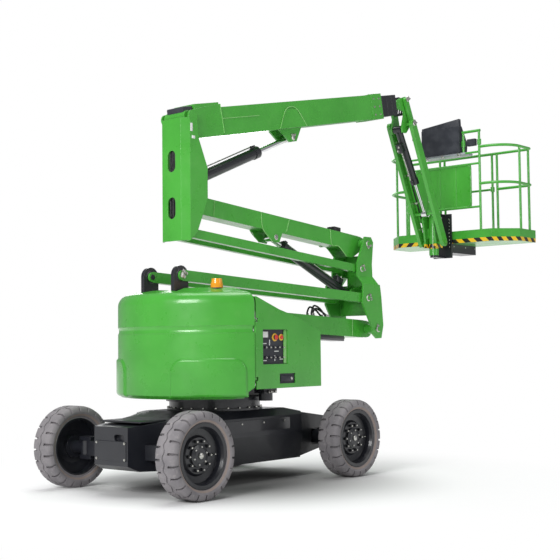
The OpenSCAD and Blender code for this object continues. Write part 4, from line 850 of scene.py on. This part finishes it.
def make_lower_arm_details():
    """Tray under the arm, weld beads at its ends, and hose loops on top with their fittings."""
    tray = Piece("hose_tray", "riser_lower_arm", black_paint, "black_paint")
    tray.add(along_lower(box((1494, -93, -149), (2406, 93, -96), 5))).build()
    welds = Piece("lower_arm_welds", "riser_lower_arm", highlight_green, "green_paint")
    # The beads take the paler green: a painted highlight at the arm's ends.
    for along in (2519, 269):
        weld(welds, along_lower, [(along, -92), (along, 92)], 113.0, 4.5)
    welds.build()
    hoses = Piece("lower_arm_hoses", "riser_lower_arm", hose_black)
    fittings = Piece("lower_arm_hose_fittings", "riser_lower_arm", zinc)
    for y, reach, rise in ((-62.0, 0.0, 120.0), (-34.0, 60.0, 95.0), (20.0, 30.0, 110.0)):
        first, last = 1880 + reach, 2120 + reach
        loop = [
            (first, y, 92), (first - 10, y, 130), (first + 30, y, rise + 80),
            (first + 130, y + 6, rise + 60), (last - 30, y + 4, 120), (last, y, 92),
        ]
        hoses.add(along_lower(tube(loop, 10.0)))
        for along in (first, last):
            fittings.add(along_lower(lathe((along, y, 90), "z", [(0, 16), (16, 16), (18, 13), (34, 13)], 6)))
    hoses.build()
    fittings.build()


def make_cylinder_ports(body, eye, rod_out, half, above):
    """Valve block near the barrel's foot, a steel pipe along it to the gland port, and two fittings."""
    base = pin_of(f"{body}_turn")
    run = eye - base
    barrel = float(np.hypot(*run)) - rod_out
    along = partial(aimed, origin=base, degrees=math.degrees(math.atan2(run[1], run[0])))
    block = Piece(f"{body}_valve_block", body, black_paint, "black_paint")
    foot_block = (150, 262, 34, half - 6, half + 62)
    gland_block = (barrel - 66, barrel - 22, 20, half - 2, half + 26)
    for x0, x1, side, foot, top in (foot_block, gland_block):
        low, high = sorted((above * foot, above * top))
        block.add(along(box((x0, -side, low), (x1, side, high), 5)))
    block.build()
    pipe = Piece(f"{body}_pipe", body, zinc)
    start, level = above * (half + 20.0), above * (half + 16.0)
    path = [(258, 12, start), (300, 12, level), (barrel - 90, 12, level), (barrel - 60, 12, level)]
    pipe.add(along(tube(path, 6.5, 8, 6)))
    for x, y in ((180, -12), (225, 14)):
        fitting = [(0, 13), (14, 13), (15, 9), (26, 9)]
        pipe.add(along(lathe((x, y, above * (half + 60)), "z", fitting, 6, above)))
    pipe.build()


make_upper_arm_details()
make_lower_arm_details()
make_cylinder_ports("riser_cylinder", RISER_EYE, 190.0, 52.0, -1.0)
make_cylinder_ports("lift_cylinder", LIFT_EYE, 520.0, 55.0, 1.0)
make_cylinder_ports("jib_cylinder", JIB_EYE, 400.0, 42.0, -1.0)


# Mast, boom and jib

def make_mast_details():
    """Hoses behind the back plate's openings, their clamps and two blank plates on each side."""
    hoses = Piece("mast_hoses", "mast", hose_black)
    for y in (-45.0, -15.0, 15.0, 45.0):
        path = [(-512, y, 2300), (-512, y * 1.04, 2650), (-512, y * 0.9, 3000), (-512, y, 3250)]
        hoses.add(tube(path, 12.0))
    hoses.build()
    clamps = Piece("mast_hose_clamps", "mast", black_paint, "black_paint")
    for z in (2290.0, 2775.0, 3250.0):
        clamps.add(box((-535, -75, z - 18), (-494, 75, z + 18)))
    clamps.build()
    plates = Piece("mast_blank_plates", "mast", label_white)
    for x, z, w, h in ((-470, 3290, 15, 38), (-446, 3200, 22, 14)):
        for y in (-185.5, 183.5):
            plates.add(box((x - w, y, z - h), (x + w, y + 2.0, z + h), 0.9))
    plates.build()


def make_boom_shell_details():
    """End cover of the boom's tail and weld beads round the lug's doubler and the root."""
    cover = Piece("boom_tail_cover", "boom_outer", plastic, "black_plastic")
    cover.add(along_boom(box((-40, -108, 34), (92, 108, 168), 8))).build()
    # The beads take the paler green: a painted highlight round the lug's doubler and the root.
    welds = Piece("boom_welds", "boom_outer", highlight_green, "green_paint")
    weld(welds, along_boom, [(1300, -130), (1440, 60), (1600, 60), (1740, -130)], 124.0, 4.5)
    weld(welds, along_boom, [(450, -120), (450, 165)], 130.0, 4.0)
    weld(welds, along_boom, [(450, 26), (1010, 22)], 119.0, 4.0)
    welds.build()


def make_boom_bolts():
    """Adjuster bolts of the slide pads near the tip, the pin of the lift rod, and ribs of the inner boom."""
    bolts = Piece("boom_pad_bolts", "boom_outer", zinc)
    for along in (3010.0, 3110.0):
        for above in (-90.0, 0.0, 90.0):
            for out in SIDES:
                bolts.add(*map(along_boom, hex_bolt((along, 126.0 * out, above), "y", out, 17.0, 9.0)))
        for y in (-70.0, 70.0):
            bolts.add(*map(along_boom, hex_bolt((along, y, 144.0), "z", 1.0, 17.0, 9.0)))
    for out in SIDES:
        pin_head(bolts, LIFT_EYE, 78.0 * out, out, 30.0, 100.0)
    bolts.build()
    ribs = Piece("boom_inner_ribs", "boom_inner", black_paint, "black_paint")
    for along in (3200.0, 3300.0, 3400.0):
        for y in (99.0, -99.0):
            ribs.add(along_boom(box((along, y - 3, -104), (along + 16, y + 3, 104), 2)))
    ribs.build()


def make_jib_details():
    """Hose bundle and clamps on the jib arms, hose loops and cross bars of the bracket."""
    hoses = Piece("jib_hoses", "jib_arms", hose_black)
    for y, h in ((-98.0, 26.0), (-98.0, 52.0), (96.0, 30.0)):
        path = [(190, y, h), (420, y + 4, h + 6), (760, y - 3, h), (1180, y, h + 4), (1330, y, h)]
        hoses.add(along_jib(tube(path, 9.0, 8)))
    hoses.build()
    clamps = Piece("jib_hose_clamps", "jib_arms", zinc)
    for along in (200.0, 620.0, 980.0, 1320.0):
        for y0, y1 in ((-136, -86), (84, 136)):
            clamps.add(along_jib(box((along - 12, y0, 12), (along + 12, y1, 66), 3)))
    clamps.build()
    x, z = JIB_TOP_PIN
    loops = Piece("bracket_hoses", "jib_bracket", hose_black)
    for y, dip in ((-30.0, 0.0), (0.0, 16.0), (30.0, 4.0)):
        path = [
            (x - 60, y, z + 18), (x - 20, y, z + 32 - dip), (x + 36, y, z + 16 - dip),
            (x + 38, y, z - 60), (x + 20, y, z - 150),
        ]
        loops.add(tube(path, 9.0, 8))
    loops.build()
    bars = Piece("bracket_cross_bars", "jib_bracket", black_paint, "black_paint")
    for bar_x, bar_z in ((x - 62.0, z + 16.0), (x + 20.0, z - 158.0)):
        bars.add(box((bar_x - 14, -63, bar_z - 14), (bar_x + 14, 63, bar_z + 14)))
    bars.build()


make_mast_details()
make_boom_shell_details()
make_boom_bolts()
make_jib_details()


# Platform

def make_rear_panel():
    """Tube frame round the rear panel and three pressed ribs on it."""
    piece = Piece("rear_panel_frame", "platform", green_paint, "green_paint")
    outline = rounded_rectangle(392.0, 256.0, 60.0, 8) + np.array([0.0, 0.5 * (PANEL_LOW + PANEL_HIGH)])
    loop = np.column_stack([np.full(len(outline), RAIL_X0), outline])
    loop = np.vstack([loop, loop[:1]])
    piece.add(tube(loop, 11.0, 10, 2, (1.0, 0.0, 0.0)))
    for y in (-170.0, 60.0, 250.0):
        lo, hi = (DECK_REAR + 14, y - 22, PANEL_LOW + 20), (DECK_REAR + 30, y + 22, PANEL_HIGH - 20)
        piece.add(box(lo, hi, 6))
    piece.build()


def make_support_bolts():
    """Two rows of bolts on the support's face and bolts along its beam."""
    bolts = Piece("support_bolts", "platform", zinc)
    for z in np.linspace(DECK_Z - 40.0, DECK_Z + 300.0, 9):
        for y in (-104.0, 104.0):
            bolts.add(*hex_bolt((SUPPORT_X, y, z), "x", -1.0, 12.0, 7.0))
    for x in (DECK_REAR + 60.0, DECK_REAR + 330.0, DECK_REAR + 560.0):
        for y in (-110.0, 110.0):
            bolts.add(*hex_bolt((x, y, DECK_Z - 30.0), "y", math.copysign(1.0, y), 14.0, 8.0))
    bolts.build()


def make_console_details():
    """Tray under the console, its visor, side box and levers, and the clamps that hold it to the rail."""
    tray = Piece("console_tray", "platform", tray_grey)
    tray.add(box((DECK_REAR + 8, -330, RAIL_Z - 72), (DECK_REAR + 190, 300, RAIL_Z - 46), 5)).build()
    trim = Piece("console_trim", "platform", plastic, "black_plastic")
    trim.add(box((DECK_REAR - 19, -274, RAIL_Z + 250), (DECK_REAR + 44, 284, RAIL_Z + 262)))
    visor = [(-268, RAIL_Z + 262), (278, RAIL_Z + 262), (276, RAIL_Z + 312), (-262, RAIL_Z + 372)]
    trim.add(plate_x(visor, DECK_REAR - 18, DECK_REAR + 34, 6))
    trim.add(box((DECK_REAR + 10, -470, RAIL_Z + 22), (DECK_REAR + 62, -350, RAIL_Z + 108), 8))
    lever = [(0, 13), (26, 13), (30, 9), (62, 9), (70, 15), (84, 13)]
    for y in np.linspace(-200.0, 210.0, 6):
        trim.add(lathe((DECK_REAR + 104, y, RAIL_Z + 184), "z", lever, 12))
    trim.build()
    clamps = Piece("console_clamps", "platform", zinc)
    for y in (-230.0, 0.0, 240.0):
        clamps.add(box((DECK_REAR + 2, y - 16, RAIL_Z - 84), (DECK_REAR + 44, y + 16, RAIL_Z - 42)))
    clamps.build()


def make_rail_details():
    """Lanyard points, feet of the posts and weld collars where the rails meet them."""
    points = Piece("lanyard_points", "platform", green_paint, "green_paint")
    z = RAIL_Z + 60.0
    for y in (-520.0, -300.0):
        points.add(box((DECK_REAR + 14, y - 26, z - 36), (DECK_REAR + 34, y + 26, z + 36), 6))
    points.build()
    welded = [(RAIL_X0, 520), (RAIL_X0 + 300, RAIL_Y), (RAIL_X1 - 80, RAIL_Y), (RAIL_X1, 420)]
    feet = Piece("post_feet", "platform", green_paint, "green_paint")
    # The collars take the paler green: a painted highlight at the rail joints.
    collars = Piece("rail_joints", "platform", highlight_green, "green_paint")
    foot = [(0, 22.5), (5, 22.5), (9, 18), (60, 18), (63, 15.2)]
    for side in SIDES:
        for x, y in (*welded, (RAIL_X1, 350)):
            feet.add(lathe((x, y * side, DECK_Z + 49.0), "z", foot, 16))
        for x, y in welded:
            for z in (MID_Z, RAIL_Z):
                collars.add(lathe((x, y * side, z), "z", [(-24, 15.4), (-18, 17.2), (-12, 16.0)], 14))
    feet.build()
    collars.build()


make_rear_panel()
make_support_bolts()
make_console_details()
make_rail_details()


# Turntable
DRUM_RADIUS = 906.0
DRUM_CORE = 880.0
ARCH_LOW, ARCH_HIGH = 824.0, 1180.0
ARCH_MARGIN = 14.0
ARCH_CORNER = 120.0
ARCH_SUNK, ARCH_RISE = -6.0, 22.0


def drum_slab(radius, turn, height):
    """Closed slab between a surface round the counterweight's back and a circle inside the block."""
    outer = np.stack([-radius * np.cos(turn), -radius * np.sin(turn), height], axis=-1)
    inner = np.stack([-DRUM_CORE * np.cos(turn), -DRUM_CORE * np.sin(turn), height], axis=-1)
    return np.concatenate([outer, inner[:, ::-1]], axis=1)


def drum_arch(first, last):
    """Raised arch on the counterweight's back, a function of the arc length and the height: its level rises
    by a smooth step where the distance into the arch's rounded outline passes zero, and its rim is sunk."""
    lengths = np.linspace(first - ARCH_MARGIN, last + ARCH_MARGIN, 90)
    arc, height = np.meshgrid(lengths, np.linspace(ARCH_LOW, ARCH_HIGH, 60), indexing="ij")
    u = ARCH_CORNER - np.minimum(arc - first, last - arc)
    v = ARCH_CORNER - (ARCH_HIGH - ARCH_MARGIN - height)
    gap = ARCH_CORNER - np.where((u > 0) & (v > 0), np.hypot(u, v), np.maximum(u, v))
    rise = np.clip((gap + ARCH_MARGIN) / 34.0, 0.0, 1.0)
    level = ARCH_SUNK + ARCH_RISE * rise * rise * (3.0 - 2.0 * rise)
    foot = np.clip((height - ARCH_LOW) / 26.0, 0.0, 1.0)
    lifted = np.minimum(level, ARCH_SUNK + ARCH_RISE * np.sqrt(foot))
    radius = DRUM_RADIUS + np.where(foot < 1.0, lifted, level)
    return drum_slab(radius, arc / DRUM_RADIUS, height)


def drum_band(low, high, depth, reach):
    """Soft hollow round the counterweight's back, a function of the turn and the height: a half sine deep."""
    turn, height = np.meshgrid(np.linspace(-reach, reach, 120), np.linspace(low, high, 24), indexing="ij")
    radius = DRUM_RADIUS + 0.6 - depth * np.sin((height - low) / (high - low) * math.pi)
    return drum_slab(radius, turn, height)


def make_turntable_details():
    """Arches and soft band of the counterweight, beacon foot, ring bolts, ear bosses, slew fittings."""
    arches = Piece("counterweight_arches", "turntable", green_paint, "green_paint", 60.0)
    arch = drum_arch(295.0, 985.0)
    arches.add(arch, flipped(arch), drum_band(1386.0, 1454.0, 10.0, math.radians(66.0))).build()
    foot = Piece("beacon_foot", "turntable", plastic, "black_plastic")
    foot.add(lathe((-460, -480, 1784), "z", [(0, 59.5), (8, 59.5), (12, 57.0)], 32)).build()
    bolts = Piece("slew_ring_bolts", "chassis", zinc)
    for turn in np.radians(np.arange(0.0, 360.0, 15.0)):
        at = (441.0 * math.cos(turn), 441.0 * math.sin(turn), 701.0)
        bolts.add(lathe(at, "z", [(0, 9), (11, 9), (13, 7)], 6))
    bolts.build()
    bosses = Piece("ear_bosses", "turntable", black_paint, "black_paint")
    for y, out in ((176.0, -1.0), (216.0, 1.0)):
        for side in SIDES:
            at = (EAR_PIN[0], y * side, EAR_PIN[1])
            bosses.add(lathe(at, "y", [(-2.0, 62), (1.5, 62), (3.0, 58)], 28, out * side))
    bosses.build()
    fittings = Piece("slew_drive_fittings", "turntable", zinc)
    for x in (90.0, 150.0):
        fittings.add(lathe((x, -599.0, 850.0), "y", [(0, 15), (22, 15), (24, 11), (44, 11)], 6, -1.0))
    fittings.build()


# Ground controls and latch on the right hood
CONTROL_FACE = -811.0
STOP_Z = 1347.0


def make_panel_marks():
    """Blank plate and plain bars on the ground controls: middle and half size of each bar."""
    marks = Piece("panel_marks", "hood_right", label_white)
    marks.add(box((-226, CONTROL_FACE - 3, 1346), (-150, CONTROL_FACE + 1, 1398), 1))
    bars = [
        (-205, 1292, 34, 4), (-205, 1140, 34, 4), (-36, 1222, 30, 4),
        (30, 1150, 22, 4), (-130, 1300, 5, 26), (-60, 1160, 5, 26),
    ]
    for x, z, w, h in bars:
        marks.add(box((x - w, CONTROL_FACE - 2.4, z - h), (x + w, CONTROL_FACE + 1, z + h), 0.8))
    marks.build()


def make_panel_switches():
    """Stop button, round switch, their collars and two rows of toggles."""
    stop, switch = (-60, CONTROL_FACE, STOP_Z), (28, CONTROL_FACE, STOP_Z)
    collars = Piece("stop_button_collar", "hood_right", stop_yellow)
    collars.add(lathe(stop, "y", [(1, 36), (-5, 36), (-7, 32)], 28))
    collars.add(lathe(switch, "y", [(1, 30), (-5, 30), (-7, 27)], 24)).build()
    buttons = Piece("stop_button", "hood_right", stop_red)
    mushroom = [(-2, 17), (-21, 17), (-21.5, 22), (-23.0, 24), (-23.4, 18), (-23.5, 3)]
    buttons.add(lathe(stop, "y", mushroom, 28))
    buttons.add(lathe(switch, "y", [(-2, 18), (-15, 18), (-18, 14)], 20)).build()
    toggles = Piece("panel_toggles", "hood_right", zinc)
    toggle = [(-12, 7.5), (-18, 7.5), (-19, 5), (-23.4, 6.5), (-23.6, 3)]
    for x in (-190.0, -130.0, -70.0, -10.0, 50.0):
        for z in (1167.0, 1257.0):
            toggles.add(lathe((x, CONTROL_FACE, z), "y", toggle, 10))
    toggles.build()


def make_hood_fittings():
    """Cheek of the controls' recess, the latch and its key."""
    # The cheek takes the paler green: a painted highlight on the lit side wall of the controls' recess.
    cheek = Piece("panel_recess_cheeks", "hood_right", highlight_green, "green_paint")
    cheek.add(plate([(58, 1112), (96.5, 1108), (96.5, 1416), (58, 1412)], -812, -822, 2)).build()
    latch = Piece("hood_latch", "hood_right", plastic, "black_plastic")
    latch.add(box((0, -832, 946), (182, -820, 1002), 5), box((26, -834, 960), (120, -828, 986))).build()
    key = Piece("hood_latch_key", "hood_right", zinc)
    key.add(lathe((152, -832, 974), "y", [(2, 13), (-1.5, 13), (-2.5, 10)], 18)).build()


def make_chassis_details():
    """Nose cover and top cover with their bolts, and bolted side covers of the chassis."""
    cover = Piece("nose_cover", "chassis", black_paint, "black_paint")
    cover.add(box((-1296, -196, 300), (-1288, 196, 470), 3))
    cover.add(box((-1180, -250, 618), (-860, 250, 636), 6)).build()
    bolts = Piece("chassis_bolts", "chassis", zinc)
    for z in (316, 454):
        for y in (-180, 180):
            bolts.add(*hex_bolt((-1296.0, y, z), "x", -1.0, 16.0, 8.0))
    for x in (-440.0, -140.0, 160.0, 460.0):
        for side in SIDES:
            bolts.add(*hex_bolt((x, 474.5 * side, 560.0), "y", side, 18.0, 9.0))
    bolts.build()
    plates = Piece("chassis_side_covers", "chassis", black_paint, "black_paint")
    for side in SIDES:
        outline = [(-480, 455), (540, 455), (540, 590), (-480, 590)]
        plates.add(plate(outline, 465.0 * side, 478.0 * side, 3))
    plates.build()


make_turntable_details()
make_panel_marks()
make_panel_switches()
make_hood_fittings()
make_chassis_details()
